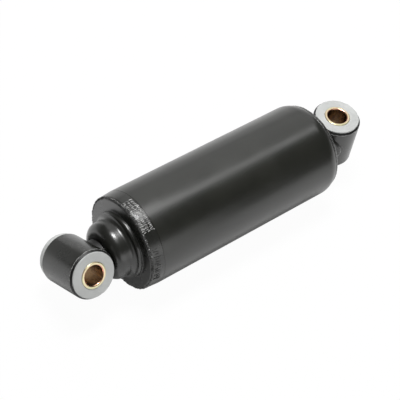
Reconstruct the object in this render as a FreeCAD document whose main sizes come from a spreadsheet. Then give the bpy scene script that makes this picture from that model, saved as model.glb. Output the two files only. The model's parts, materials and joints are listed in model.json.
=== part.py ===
import FreeCAD, Part
import math
import os
import Sketcher

from FreeCAD import Placement, Rotation, Vector

# Seat shock absorber: a closed twin-tube hydraulic damper with an eye at each end.
# Millimetres. The origin is the centre of the body eye, +X runs along the damper to the
# rod eye and +Z runs along the bore of the body eye. The damper is drawn fully closed.

# Every size that can be set by itself: name, number, and what it measures.
SIZES = [
    ("eye_clocking", 62.5, "angle between the two eye bores, seen along the damper"),
    ("stroke", 60.0, "how far the rod comes out"),
    ("running_gap", 0.05, "radial clearance of a turning or sliding fit"),
    ("press_gap", 0.02, "radial clearance drawn in a pressed or screwed joint"),
    ("free_gap", 0.3, "clearance between moving pieces that must not touch"),

    ("ring_radius", 12.5, "outer radius of an eye ring"),
    ("ring_wall", 3.5, "wall of an eye ring"),
    ("bush_wall", 2.23, "wall of a bush barrel"),
    ("sleeve_wall", 1.65, "wall of a sleeve, which leaves its bolt bore"),
    ("ring_width", 25.6, "width of an eye ring along its bore"),
    ("ring_chamfer", 0.6, "chamfer on the outer edges of an eye ring"),
    ("flange_inset", 0.95, "how far the rim of a bush flange lies inside the outside of its ring"),
    ("flange_recess", 1.0, "depth of the recess that a bush flange sits in"),
    ("flange_side_gap", 0.1, "radial clearance of a bush flange in its recess"),
    ("flange_stand", 0.65, "how far a bush flange stands out of its ring"),
    ("far_flange_stand", 2.65, "how far the thick flange at the far side of the rod eye stands out"),
    ("flange_edge", 0.2, "chamfer on the rim of a bush flange"),
    ("bush_gap", 1.2, "space between the two bush barrels inside a ring"),
    ("sleeve_stand", 0.35, "how far a sleeve stands out of the bush flange"),
    ("sleeve_edge", 0.35, "chamfer on the ends of a sleeve"),

    ("tube_radius", 25.0, "outer radius of the outer tube"),
    ("tube_wall", 1.75, "wall of the outer tube"),
    ("stem_length", 3.4, "body eye ring to the flat face of the base cap"),
    ("base_setback", 3.5, "base cap face to the drawn-in end of the outer tube"),
    ("base_curve_length", 5.0, "length of the drawn-in curve at the base end"),
    ("base_draw", 1.4, "how far the tube is drawn in at the base end"),
    ("base_cone_length", 6.6, "length of the cone inside the drawn-in end"),
    ("base_cap_wall", 2.5, "thickness of the base cap floor"),
    ("base_cap_skirt", 2.0, "wall of the base cap skirt"),
    ("base_cap_depth", 13.1, "base cap face to the end of its skirt"),
    ("base_cap_corner", 1.5, "rounding round the base cap face"),
    ("base_cap_inner_corner", 2.0, "rounding inside the base cap"),
    ("stem_radius", 9.5, "radius of the neck between base cap and body eye"),
    ("stem_weld", 1.8, "leg of the weld round the neck"),

    ("closed_gap", 0.35, "rod eye ring to the top of the dome, fully closed"),
    ("skirt_length", 7.4, "length of the end cap skirt"),
    ("skirt_wall", 1.5, "wall of the end cap skirt"),
    ("skirt_tip", 0.3, "flat on the tip of the end cap skirt"),
    ("seam_gap", 0.3, "open seam between tube shoulder and end cap skirt"),
    ("rim_length", 2.6, "length of the rounded rim of the end cap"),
    ("rim_taper", 0.38, "how far the skirt tapers in before the rim"),
    ("rim_drop", 1.42, "how far the rounded rim comes in"),
    ("rim_curve", 3.0, "radius of the rounded rim"),
    ("face_wall", 2.0, "thickness of the end cap face and dome"),
    ("inner_corner", 1.8, "rounding in the corner inside the end cap"),
    ("dome_radius", 14.9, "radius of the dome"),
    ("dome_height", 12.55, "end cap face to the top of the dome"),
    ("dome_round", 5.5, "rounding of the edge of the dome"),
    ("dome_flat", 2.0, "flat that the rounding of the dome leaves at least round the rod hole"),
    ("foot_width", 2.6, "how far the step at the foot of the dome stands out"),
    ("foot_height", 2.6, "height of that step"),
    ("foot_round", 1.4, "rounding on the edge of that step"),
    ("foot_flat", 0.05, "flat left between that rounding and the fillet of the dome"),
    ("joggle_length", 1.2, "length of the step where the tube goes under the skirt"),
    ("o_ring_room", 2.2, "end of the outer tube to the inside of the end cap face"),

    ("rod_radius", 6.0, "radius of the piston rod"),
    ("rod_hole_gap", 0.4, "clearance of the rod in the dome and the washers"),
    ("stud_radius", 4.0, "radius of the threaded end of the rod"),
    ("stud_chamfer", 0.5, "chamfer on the tip of the rod"),
    ("stud_stand", 1.5, "how far the rod tip stands out of the nut"),
    ("rod_weld", 2.5, "leg of the weld between rod and rod eye"),

    ("pressure_radius", 14.0, "bore radius of the pressure tube"),
    ("pressure_wall", 1.5, "wall of the pressure tube"),

    ("guide_length", 12.4, "length of the large part of the rod guide"),
    ("guide_spigot", 5.0, "length of the guide that enters the pressure tube"),
    ("guide_chamfer", 0.6, "chamfer on the edges of the rod guide"),
    ("pocket_cover", 1.9, "how much smaller the seal pocket is than the inside of the dome, in radius"),
    ("guide_pocket_depth", 8.4, "depth of the seal pocket in the guide"),
    ("guide_bush_wall", 1.3, "wall of the guide bush"),
    ("guide_bush_inset", 0.5, "how far the guide bush is sunk at the piston side"),
    ("drain_share", 0.2, "radius of a drain hole as a share of the rim of the guide"),
    ("drain_count", 6, "number of drain holes"),
    ("seal_length", 5.0, "length of the rod seal"),
    ("seal_groove", 1.6, "depth of the lip groove in the rod seal"),
    ("washer_thickness", 1.5, "thickness of the seal washer"),
    ("wiper_seat", 0.5, "length of the straight side of the rod wiper"),
    ("wiper_lip", 1.2, "length of the lip of the rod wiper"),
    ("o_ring_section", 0.75, "section radius of the guide sealing ring"),
    ("spring_wire", 0.7, "wire radius of the packing spring"),
    ("spring_turns", 2.5, "turns of the packing spring"),
    ("spring_side_gap", 0.6, "clearance of the packing spring in the seal pocket"),

    ("valve_foot", 2.6, "height of the feet under the base valve"),
    ("valve_foot_wall", 3.0, "width of the foot ring under the base valve"),
    ("valve_flange", 4.0, "thickness of the base valve flange"),
    ("valve_spigot", 4.0, "length of the base valve in the pressure tube"),
    ("valve_slot_width", 5.0, "width of a slot between two feet"),
    ("valve_slot_count", 4, "number of slots between the feet"),
    ("rivet_radius", 2.5, "radius of the base valve rivet"),
    ("rivet_head_radius", 4.2, "radius of the rivet heads"),
    ("rivet_head", 1.0, "thickness of a rivet head"),
    ("disc_thickness", 0.4, "thickness of a valve disc"),
    ("disc_clear", 0.2, "how far a disc stays clear of the ports round it"),
    ("spacer_radius", 4.5, "radius of the spacer on the base valve"),
    ("spacer_length", 1.2, "length of the spacer on the base valve"),
    ("intake_plate_width", 4.2, "width of the ring plate over the intake ports"),
    ("intake_plate_thickness", 0.6, "thickness of that ring plate"),
    ("intake_spring_thickness", 0.3, "thickness of the intake spring"),
    ("intake_finger_count", 6, "number of fingers on the intake spring"),
    ("intake_finger_gap", 2.6, "radius of the gap between two fingers"),

    ("port_radius", 1.1, "radius of an oil port"),
    ("inner_port_share", 0.265, "circle of inner ports, as a share of the way from stud to tube"),
    ("outer_port_share", 0.67, "circle of outer ports, as a share of the way from stud to tube"),
    ("inner_port_count", 6, "number of inner ports"),
    ("outer_port_count", 8, "number of outer ports"),
    ("seat_depth", 0.7, "depth of the channel that joins the ports"),

    ("nut_clearance", 2.5, "rod tip to the base valve, fully closed"),
    ("nut_flats", 13.0, "width across the flats of the piston nut"),
    ("nut_thickness", 5.0, "thickness of the piston nut"),
    ("clamp_width", 2.4, "width of the ring on which the nut clamps the rebound discs"),
    ("piston_length", 12.0, "length of the piston"),
    ("piston_chamfer", 0.5, "chamfer on the edges of the piston"),
    ("band_width", 7.0, "width of the piston band"),
    ("band_thickness", 1.3, "thickness of the piston band"),
    ("band_end_gap", 0.1, "axial clearance of the band in its groove"),
    ("check_disc_gap", 1.4, "how much smaller the check disc is than the pressure tube, in radius"),
    ("check_disc_thickness", 0.8, "thickness of the compression check disc"),
    ("support_thickness", 1.5, "thickness of the disc support washer"),
    ("bumper_length", 4.3, "length of the rebound bumper"),
    ("bumper_wall", 4.58, "wall of the rebound bumper"),
    ("bumper_round", 1.4, "rounding on the rebound bumper"),
]

# Number of discs in each stack.
REBOUND_DISC_COUNT = 3
BASE_DISC_COUNT = 2

# Sides of the piston nut.
HEXAGON = 6


class Size:
    """A number together with the spreadsheet expression that gives it."""

    def __init__(self, value, text):
        self.value = float(value)
        self.text = text

    @staticmethod
    def of(other):
        """Turn a plain number into a Size."""
        if isinstance(other, Size):
            return other
        return Size(other, repr(other))

    def __add__(self, other):
        other = Size.of(other)
        return Size(self.value + other.value, f"({self.text} + {other.text})")

    def __sub__(self, other):
        other = Size.of(other)
        return Size(self.value - other.value, f"({self.text} - {other.text})")

    def __mul__(self, other):
        other = Size.of(other)
        return Size(self.value * other.value, f"({self.text} * {other.text})")

    def __truediv__(self, other):
        other = Size.of(other)
        return Size(self.value / other.value, f"({self.text} / {other.text})")

    def __neg__(self):
        return Size(-self.value, f"(0 - {self.text})")

    def at_most(self, limit):
        """This size, or the limit where that is smaller."""
        return Size(min(self.value, limit.value), f"min({self.text}; {limit.text})")


doc = FreeCAD.newDocument("seat_shock_absorber")
sheet = doc.addObject("Spreadsheet::Sheet", "sizes")


class Sizes:
    """The driving dimensions, written to the spreadsheet and kept as attributes."""

    def __init__(self, rows):
        for line, (alias, number, meaning) in enumerate(rows, start=1):
            sheet.set(f"A{line}", meaning)
            sheet.set(f"B{line}", str(number))
            sheet.setAlias(f"B{line}", alias)
            setattr(self, alias, Size(number, f"sizes.{alias}"))


s = Sizes(SIZES)
doc.recompute()

NONE = Size(0, "0")

# Eyes, from the ring inwards to the bolt bore.
ring_bore = s.ring_radius - s.ring_wall
barrel_radius = ring_bore - s.press_gap
bush_bore = barrel_radius - s.bush_wall
sleeve_radius = bush_bore - s.running_gap
bolt_bore = sleeve_radius - s.sleeve_wall
flange_radius = s.ring_radius - s.flange_inset
recess_radius = flange_radius + s.flange_side_gap
half_width = s.ring_width / 2
recess_face = half_width - s.flange_recess
flange_face = half_width + s.flange_stand
far_flange_face = half_width + s.far_flange_stand
sleeve_face = flange_face + s.sleeve_stand
far_sleeve_face = far_flange_face + s.sleeve_stand

# Base end.
base_face = s.ring_radius + s.stem_length
tube_bore = s.tube_radius - s.tube_wall
tube_base_x = base_face + s.base_setback
base_lip_radius = s.tube_radius - s.base_draw
base_lip_bore = base_lip_radius - s.tube_wall
base_curve_radius = (s.base_curve_length * s.base_curve_length + s.base_draw * s.base_draw) / (s.base_draw * 2)
base_cone_x = tube_base_x + s.base_cone_length
base_floor_x = base_face + s.base_cap_wall
base_cap_end_x = base_face + s.base_cap_depth
base_cap_radius = tube_bore - s.running_gap

# Pressure tube and the ports and discs inside it.
pressure_outer = s.pressure_radius + s.pressure_wall
spigot_radius = s.pressure_radius - s.running_gap
stud_bore = s.stud_radius + s.press_gap
inner_port_circle = stud_bore + (s.pressure_radius - stud_bore) * s.inner_port_share
outer_port_circle = stud_bore + (s.pressure_radius - stud_bore) * s.outer_port_share
disc_radius = outer_port_circle - s.port_radius - s.disc_clear
base_disc_step = (disc_radius - s.rivet_head_radius) / (BASE_DISC_COUNT + 1)
rebound_disc_step = (disc_radius - stud_bore - s.clamp_width) / REBOUND_DISC_COUNT

# Base valve, standing on the floor of the base cap.
valve_under_x = base_floor_x + s.valve_foot
valve_seat_x = valve_under_x + s.valve_flange
valve_top_x = valve_seat_x + s.valve_spigot
rivet_bore = s.rivet_radius + s.press_gap
spacer_end_x = valve_top_x + s.spacer_length
rivet_end_x = spacer_end_x + s.intake_spring_thickness + s.rivet_head
base_stack_x = valve_under_x - s.disc_thickness * BASE_DISC_COUNT

# Piston and what is clamped on the rod, from the base valve up.
rod_tip_x = rivet_end_x + s.nut_clearance
nut_x = rod_tip_x + s.stud_stand
rebound_stack_x = nut_x + s.nut_thickness
piston_x = rebound_stack_x + s.disc_thickness * REBOUND_DISC_COUNT
piston_end_x = piston_x + s.piston_length
check_end_x = piston_end_x + s.check_disc_thickness
support_end_x = check_end_x + s.support_thickness
bumper_end_x = support_end_x + s.bumper_length
band_x = piston_x + (s.piston_length - s.band_width) / 2
piston_radius = s.pressure_radius - s.free_gap
band_radius = s.pressure_radius - s.running_gap
band_bore = band_radius - s.band_thickness

# Rod guide, a stroke away from the bumper.
guide_end_x = bumper_end_x + s.free_gap + s.stroke
guide_seat_x = guide_end_x + s.guide_spigot
guide_top_x = guide_seat_x + s.guide_length
guide_bush_bore = s.rod_radius + s.running_gap
guide_bush_radius = guide_bush_bore + s.guide_bush_wall

# End cap over the guide, and the end of the outer tube.
face_x = guide_top_x + s.face_wall
skirt_x = face_x - s.skirt_length
skirt_bore = s.tube_radius - s.skirt_wall
rim_x = face_x - s.rim_length
rim_radius = s.tube_radius - s.rim_taper
face_radius = rim_radius - s.rim_drop
dome_bore = s.dome_radius - s.face_wall
dome_top_x = face_x + s.dome_height
dome_ceiling_x = dome_top_x - s.face_wall
rod_hole = s.rod_radius + s.rod_hole_gap
dome_round = s.dome_round.at_most(s.dome_radius - rod_hole - s.dome_flat)
foot_radius = s.dome_radius + s.foot_width
dome_fillet = s.foot_width - s.foot_round - s.foot_flat
shoulder_x = skirt_x - s.seam_gap
neck_radius = skirt_bore - s.running_gap
neck_bore = neck_radius - s.tube_wall
neck_start_x = shoulder_x + s.joggle_length
neck_end_x = guide_top_x - s.o_ring_room

# Seals in the guide and under the dome.
guide_radius = neck_bore - s.running_gap
pocket_radius = dome_bore - s.pocket_cover
pocket_x = guide_top_x - s.guide_pocket_depth
seal_end_x = pocket_x + s.seal_length
washer_end_x = seal_end_x + s.washer_thickness
wiper_corner = dome_round - s.face_wall
wiper_x = dome_ceiling_x - wiper_corner - s.wiper_seat
spring_radius = pocket_radius - s.spring_side_gap - s.spring_wire
drain_circle = (guide_radius + pressure_outer) / 2
drain_radius = (guide_radius - pressure_outer) * s.drain_share

# Rod eye, just clear of the dome when the damper is closed.
eye_spacing = dome_top_x + s.closed_gap + s.ring_radius


class Outline:
    """A closed outline of straight runs and arcs, each corner held by two bound sizes."""

    def __init__(self, x, y):
        self.steps = [(Size.of(x), Size.of(y), None, None)]

    def line(self, x, y):
        """Run straight to a corner."""
        self.steps.append((Size.of(x), Size.of(y), None, None))
        return self

    def arc(self, x, y, radius, centre_side):
        """Run to a corner by an arc whose centre is on the left or right of the way."""
        self.steps.append((Size.of(x), Size.of(y), radius, centre_side))
        return self

    def close_by_arc(self, radius, centre_side):
        """Make the run back to the first corner an arc."""
        x, y, _, _ = self.steps[0]
        self.steps[0] = (x, y, radius, centre_side)
        return self


def origin_plane(body, role):
    """Find one of the origin planes of a body."""
    for feature in body.Origin.OriginFeatures:
        if feature.Role == role:
            return feature
    raise ValueError(role)


def new_body(name):
    """Start a sub-part as a body of its own."""
    body = doc.addObject("PartDesign::Body", name)
    body.Label = name
    return body


def new_sketch(body, name, plane):
    """Put an empty sketch on an origin plane of the body."""
    sketch = body.newObject("Sketcher::SketchObject", name)
    sketch.AttachmentSupport = (origin_plane(body, plane), [""])
    sketch.MapMode = "FlatFace"
    return sketch


def hold(sketch, kind, geometry, point, size):
    """Hold one coordinate of a point of the sketch at a bound size."""
    if size.text == "0":
        axis = -1 if kind == "DistanceY" else -2
        sketch.addConstraint(Sketcher.Constraint("PointOnObject", geometry, point, axis))
        return
    index = sketch.addConstraint(Sketcher.Constraint(kind, geometry, point, size.value))
    sketch.setExpression(f"Constraints[{index}]", size.text)


def arc_of(start, end, radius, centre_side):
    """The short arc between two points with its centre on the given side."""
    middle = (start + end) * 0.5
    half = (end - start).Length / 2
    way = (end - start).normalize()
    left = Vector(-way.y, way.x, 0)
    reach = math.sqrt(max(radius * radius - half * half, 0.0))
    sign = 1 if centre_side == "left" else -1
    centre = middle + left * (reach * sign)
    first, last = (start, end) if centre_side == "left" else (end, start)
    circle = Part.Circle(centre, Vector(0, 0, 1), radius)
    first_angle = math.atan2(first.y - centre.y, first.x - centre.x)
    last_angle = math.atan2(last.y - centre.y, last.x - centre.x)
    return Part.ArcOfCircle(circle, first_angle, last_angle)


def draw(body, name, plane, outline):
    """Draw a closed outline as a fully held sketch."""
    sketch = new_sketch(body, name, plane)
    steps = outline.steps
    ends = []
    for index, step in enumerate(steps):
        following = steps[(index + 1) % len(steps)]
        start = Vector(step[0].value, step[1].value, 0)
        end = Vector(following[0].value, following[1].value, 0)
        if following[2] is None:
            geometry = sketch.addGeometry(Part.LineSegment(start, end), False)
            ends.append((geometry, 1, 2))
        else:
            curve = arc_of(start, end, following[2].value, following[3])
            geometry = sketch.addGeometry(curve, False)
            ends.append((geometry, 1, 2) if following[3] == "left" else (geometry, 2, 1))
    for index, (geometry, start_point, end_point) in enumerate(ends):
        next_geometry, next_start, next_end = ends[(index + 1) % len(ends)]
        sketch.addConstraint(Sketcher.Constraint("Coincident", geometry, end_point, next_geometry, next_start))
        hold(sketch, "DistanceX", geometry, start_point, steps[index][0])
        hold(sketch, "DistanceY", geometry, start_point, steps[index][1])
        radius = steps[(index + 1) % len(steps)][2]
        if radius is not None:
            held = sketch.addConstraint(Sketcher.Constraint("Radius", geometry, radius.value))
            sketch.setExpression(f"Constraints[{held}]", radius.text)
    return sketch


def revolve(body, name, sketch, axis):
    """Turn a sketch round one of its own axes."""
    feature = body.newObject("PartDesign::Revolution", name)
    feature.Profile = sketch
    feature.ReferenceAxis = (sketch, [axis])
    feature.Angle = 360
    sketch.Visibility = False
    return feature


def turned_part(name, outline):
    """A sub-part turned about the damper's own axis."""
    body = new_body(name)
    sketch = draw(body, name + "_outline", "XY_Plane", outline)
    revolve(body, name + "_turned", sketch, "H_Axis")
    return body


def eye_part(name, outline, at_rod_end):
    """A sub-part turned about the bore of an eye."""
    body = new_body(name)
    sketch = draw(body, name + "_outline", "XZ_Plane", outline)
    revolve(body, name + "_turned", sketch, "V_Axis")
    if at_rod_end:
        place_at_rod_eye(body)
    return body


def place_at_rod_eye(piece):
    """Stand a piece drawn round the body eye at the rod eye, turned by the clocking."""
    piece.Placement = Placement(Vector(eye_spacing.value, 0, 0), Rotation(Vector(-1, 0, 0), s.eye_clocking.value))
    piece.setExpression("Placement.Base.x", eye_spacing.text)
    piece.setExpression("Placement.Rotation.Angle", s.eye_clocking.text)


def cut_away(feature, previous):
    """Recompute after a cutting feature and make sure that it took material away."""
    doc.recompute()
    if not feature.Shape.Volume < previous.Shape.Volume:
        raise ValueError(f"{feature.Name} cuts nothing")


def groove(body, name, plane, axis, outline):
    """Turn a cut round an axis of its sketch."""
    sketch = draw(body, name + "_outline", plane, outline)
    doc.recompute()
    feature = body.newObject("PartDesign::Groove", name)
    feature.Profile = sketch
    feature.ReferenceAxis = (sketch, [axis])
    feature.Angle = 360
    cut_away(feature, feature.BaseFeature)
    return feature


def ring_of_holes(body, name, radius, circle, count, x):
    """Drill a circle of equal holes through a turned sub-part, along the damper."""
    sketch = new_sketch(body, name + "_outline", "YZ_Plane")
    sketch.setExpression("AttachmentOffset.Base.z", x.text)
    hole = sketch.addGeometry(Part.Circle(Vector(circle.value, 0, 0), Vector(0, 0, 1), radius.value), False)
    hold(sketch, "DistanceX", hole, 3, circle)
    hold(sketch, "DistanceY", hole, 3, NONE)
    held = sketch.addConstraint(Sketcher.Constraint("Radius", hole, radius.value))
    sketch.setExpression(f"Constraints[{held}]", radius.text)
    doc.recompute()
    pocket = body.newObject("PartDesign::Pocket", name + "_first")
    pocket.Profile = sketch
    pocket.Type = 1
    pocket.Midplane = True
    cut_away(pocket, pocket.BaseFeature)
    repeat_round(body, name, pocket, count)


def repeat_round(body, name, feature, count):
    """Repeat a cut round the damper's axis."""
    pattern = body.newObject("PartDesign::PolarPattern", name)
    pattern.Originals = [feature]
    pattern.Axis = (origin_plane(body, "X_Axis"), [""])
    pattern.Angle = 360
    pattern.Occurrences = int(count.value)
    pattern.setExpression("Occurrences", count.text)
    body.Tip = pattern
    cut_away(pattern, feature)


def washer(name, start_x, end_x, inner, outer):
    """A flat ring between two places on the damper's axis."""
    outline = Outline(start_x, inner)
    outline.line(end_x, inner)
    outline.line(end_x, outer)
    outline.line(start_x, outer)
    return turned_part(name, outline)


# Eyes: the same pieces at both ends.
def eye_ring(name, at_rod_end):
    """The welded ring of an eye, recessed at both ends for the bush flanges."""
    outline = Outline(ring_bore, -recess_face)
    outline.line(recess_radius, -recess_face)
    outline.line(recess_radius, -half_width)
    outline.line(s.ring_radius - s.ring_chamfer, -half_width)
    outline.line(s.ring_radius, -half_width + s.ring_chamfer)
    outline.line(s.ring_radius, half_width - s.ring_chamfer)
    outline.line(s.ring_radius - s.ring_chamfer, half_width)
    outline.line(recess_radius, half_width)
    outline.line(recess_radius, recess_face)
    outline.line(ring_bore, recess_face)
    return eye_part(name, outline, at_rod_end)


def eye_bush(name, side, face, at_rod_end):
    """A flanged nylon bush; side is 1 above the middle of the eye and -1 below it, face its flange's."""
    outline = Outline(bush_bore, s.bush_gap / 2 * side)
    outline.line(barrel_radius, s.bush_gap / 2 * side)
    outline.line(barrel_radius, recess_face * side)
    outline.line(flange_radius, recess_face * side)
    outline.line(flange_radius, (face - s.flange_edge) * side)
    outline.line(flange_radius - s.flange_edge, face * side)
    outline.line(bush_bore, face * side)
    return eye_part(name, outline, at_rod_end)


def eye_sleeve(name, lower_face, at_rod_end):
    """The steel sleeve for the bolt; lower_face is the distance from the eye's middle to its lower end."""
    outline = Outline(bolt_bore, -lower_face + s.sleeve_edge)
    outline.line(bolt_bore + s.sleeve_edge, -lower_face)
    outline.line(sleeve_radius - s.sleeve_edge, -lower_face)
    outline.line(sleeve_radius, -lower_face + s.sleeve_edge)
    outline.line(sleeve_radius, sleeve_face - s.sleeve_edge)
    outline.line(sleeve_radius - s.sleeve_edge, sleeve_face)
    outline.line(bolt_bore + s.sleeve_edge, sleeve_face)
    outline.line(bolt_bore, sleeve_face - s.sleeve_edge)
    return eye_part(name, outline, at_rod_end)


# Base end of the damper body.
def base_stem():
    """The short neck, hollowed at one end to sit on the round of the eye ring."""
    outline = Outline(NONE, NONE)
    outline.line(base_face, NONE)
    outline.line(base_face, s.stem_radius)
    outline.line(NONE, s.stem_radius)
    body = turned_part("base_stem", outline)
    saddle = Outline(NONE, -half_width)
    saddle.line(s.ring_radius, -half_width)
    saddle.line(s.ring_radius, half_width)
    saddle.line(NONE, half_width)
    groove(body, "stem_saddle", "XZ_Plane", "V_Axis", saddle)
    return body


def base_stem_weld():
    """The hollow fillet round the foot of the neck."""
    outline = Outline(base_face - s.stem_weld, s.stem_radius)
    outline.line(base_face, s.stem_radius)
    outline.line(base_face, s.stem_radius + s.stem_weld)
    outline.close_by_arc(s.stem_weld, "left")
    return turned_part("base_stem_weld", outline)


def base_cap():
    """A pressed cup that closes the base end of the outer tube."""
    edge_x = base_face + s.base_cap_corner
    inner_radius = base_cap_radius - s.base_cap_skirt
    inner_lip = base_lip_bore - s.base_cap_skirt
    outline = Outline(base_face, NONE)
    outline.line(base_face, base_lip_bore - s.base_cap_corner)
    outline.arc(edge_x, base_lip_bore, s.base_cap_corner, "right")
    outline.line(tube_base_x, base_lip_bore)
    outline.line(base_cone_x, base_cap_radius)
    outline.line(base_cap_end_x, base_cap_radius)
    outline.line(base_cap_end_x, inner_radius)
    outline.line(base_cone_x, inner_radius)
    outline.line(base_floor_x + s.base_cap_inner_corner, inner_lip)
    outline.arc(base_floor_x, inner_lip - s.base_cap_inner_corner, s.base_cap_inner_corner, "left")
    outline.line(base_floor_x, NONE)
    return turned_part("base_cap", outline)


def base_cap_weld():
    """The bead that closes the seam between outer tube and base cap."""
    toe_x = base_face + s.base_cap_corner
    outline = Outline(tube_base_x, base_lip_bore)
    outline.line(toe_x, base_lip_bore)
    outline.arc(tube_base_x, base_lip_radius, s.base_setback - s.base_cap_corner + s.free_gap, "right")
    return turned_part("base_cap_weld", outline)


def outer_tube():
    """The reservoir tube, drawn in at the base and narrowed under the end cap skirt."""
    outline = Outline(tube_base_x, base_lip_bore)
    outline.line(tube_base_x, base_lip_radius)
    outline.arc(tube_base_x + s.base_curve_length, s.tube_radius, base_curve_radius, "right")
    outline.line(shoulder_x, s.tube_radius)
    outline.line(neck_start_x, neck_radius)
    outline.line(neck_end_x, neck_radius)
    outline.line(neck_end_x, neck_bore)
    outline.line(neck_start_x, neck_bore)
    outline.line(shoulder_x, tube_bore)
    outline.line(base_cone_x, tube_bore)
    return turned_part("outer_tube", outline)


def stepped_end_cap():
    """The pressed cap at the rod end: skirt, crowned rim, flat face, step and dome."""
    step_x = face_x + s.foot_height
    round_x = dome_top_x - dome_round
    inner_round = dome_round - s.face_wall
    outline = Outline(skirt_x, s.tube_radius - s.skirt_tip)
    outline.line(skirt_x, s.tube_radius)
    outline.line(rim_x, rim_radius)
    outline.arc(face_x, face_radius, s.rim_curve, "right")
    outline.line(face_x, foot_radius)
    outline.line(step_x - s.foot_round, foot_radius)
    outline.arc(step_x, foot_radius - s.foot_round, s.foot_round, "right")
    outline.line(step_x, s.dome_radius + dome_fillet)
    outline.arc(step_x + dome_fillet, s.dome_radius, dome_fillet, "left")
    outline.line(round_x, s.dome_radius)
    outline.arc(dome_top_x, s.dome_radius - dome_round, dome_round, "right")
    outline.line(dome_top_x, rod_hole + s.rod_hole_gap)
    outline.line(dome_top_x - s.rod_hole_gap, rod_hole)
    outline.line(dome_ceiling_x, rod_hole)
    outline.line(dome_ceiling_x, dome_bore - inner_round)
    outline.arc(round_x, dome_bore, inner_round, "left")
    outline.line(step_x - s.face_wall, dome_bore)
    outline.line(step_x - s.face_wall, foot_radius - s.face_wall)
    outline.line(guide_top_x, foot_radius - s.face_wall)
    outline.line(guide_top_x, skirt_bore - s.inner_corner)
    outline.arc(guide_top_x - s.inner_corner, skirt_bore, s.inner_corner, "left")
    outline.line(skirt_x + s.joggle_length, skirt_bore)
    return turned_part("stepped_end_cap", outline)


# Inside the damper body.
def pressure_tube():
    return washer("pressure_tube", valve_seat_x, guide_seat_x, s.pressure_radius, pressure_outer)


def rod_guide():
    """The sintered guide: spigot, seal pocket and a circle of drain holes."""
    bush_seat = guide_bush_radius + s.press_gap
    outline = Outline(guide_end_x, bush_seat)
    outline.line(pocket_x, bush_seat)
    outline.line(pocket_x, pocket_radius)
    outline.line(guide_top_x, pocket_radius)
    outline.line(guide_top_x, guide_radius - s.guide_chamfer)
    outline.line(guide_top_x - s.guide_chamfer, guide_radius)
    outline.line(guide_seat_x, guide_radius)
    outline.line(guide_seat_x, spigot_radius)
    outline.line(guide_end_x + s.guide_chamfer, spigot_radius)
    outline.line(guide_end_x, spigot_radius - s.guide_chamfer)
    body = turned_part("rod_guide", outline)
    doc.recompute()
    ring_of_holes(body, "guide_drains", drain_radius, drain_circle, s.drain_count, guide_top_x)
    return body


def guide_bush():
    start_x = guide_end_x + s.guide_bush_inset
    end_x = pocket_x - s.guide_bush_inset
    return washer("guide_bush", start_x, end_x, guide_bush_bore, guide_bush_radius)


def rod_seal():
    """The main seal, with a groove that frees its lip on the pressure side."""
    lip = (pocket_radius - guide_bush_bore) / 3
    outline = Outline(pocket_x, guide_bush_bore)
    outline.line(pocket_x, guide_bush_bore + lip)
    outline.line(pocket_x + s.seal_groove, guide_bush_bore + lip)
    outline.line(pocket_x + s.seal_groove, pocket_radius - s.press_gap - lip)
    outline.line(pocket_x, pocket_radius - s.press_gap - lip)
    outline.line(pocket_x, pocket_radius - s.press_gap)
    outline.line(seal_end_x, pocket_radius - s.press_gap)
    outline.line(seal_end_x, guide_bush_bore)
    return turned_part("rod_seal", outline)


def seal_washer():
    return washer("seal_washer", seal_end_x, washer_end_x, rod_hole, pocket_radius - s.press_gap)


def rod_wiper():
    """The dust lip under the top of the dome."""
    outline = Outline(wiper_x, guide_bush_bore)
    outline.line(wiper_x, dome_bore - s.press_gap)
    outline.line(dome_ceiling_x - wiper_corner, dome_bore - s.press_gap)
    outline.line(dome_ceiling_x, dome_bore - wiper_corner)
    outline.line(dome_ceiling_x, rod_hole + s.wiper_lip)
    outline.line(dome_ceiling_x - s.wiper_lip, guide_bush_bore)
    return turned_part("rod_wiper", outline)


def guide_o_ring():
    """The sealing ring in the corner between tube end, guide and end cap."""
    ring = doc.addObject("Part::Torus", "guide_o_ring")
    ring.Label = "guide_o_ring"
    ring.setExpression("Radius2", s.o_ring_section.text)
    ring.setExpression("Radius1", (guide_radius + s.running_gap + s.o_ring_section).text)
    ring.Placement = Placement(Vector(0, 0, 0), Rotation(Vector(0, 1, 0), 90))
    ring.setExpression("Placement.Base.x", (neck_end_x + s.running_gap + s.o_ring_section).text)
    return ring


def packing_spring():
    """The coil spring that keeps the seal washer and the wiper apart."""
    start_x = washer_end_x + s.spring_wire
    end_x = wiper_x - s.spring_wire
    helix = doc.addObject("Part::Helix", "packing_spring_path")
    helix.setExpression("Height", (end_x - start_x).text)
    helix.setExpression("Pitch", ((end_x - start_x) / s.spring_turns).text)
    helix.setExpression("Radius", spring_radius.text)
    wire = doc.addObject("Part::Circle", "packing_spring_wire")
    wire.setExpression("Radius", s.spring_wire.text)
    wire.Placement = Placement(Vector(spring_radius.value, 0, 0), Rotation(Vector(1, 0, 0), 90))
    wire.setExpression("Placement.Base.x", spring_radius.text)
    sweep = doc.addObject("Part::Sweep", "packing_spring")
    sweep.Label = "packing_spring"
    sweep.Sections = [wire]
    sweep.Spine = (helix, [])
    sweep.Solid = True
    sweep.Frenet = True
    sweep.Placement = Placement(Vector(start_x.value, 0, 0), Rotation(Vector(0, 1, 0), 90))
    sweep.setExpression("Placement.Base.x", start_x.text)
    return sweep


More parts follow.
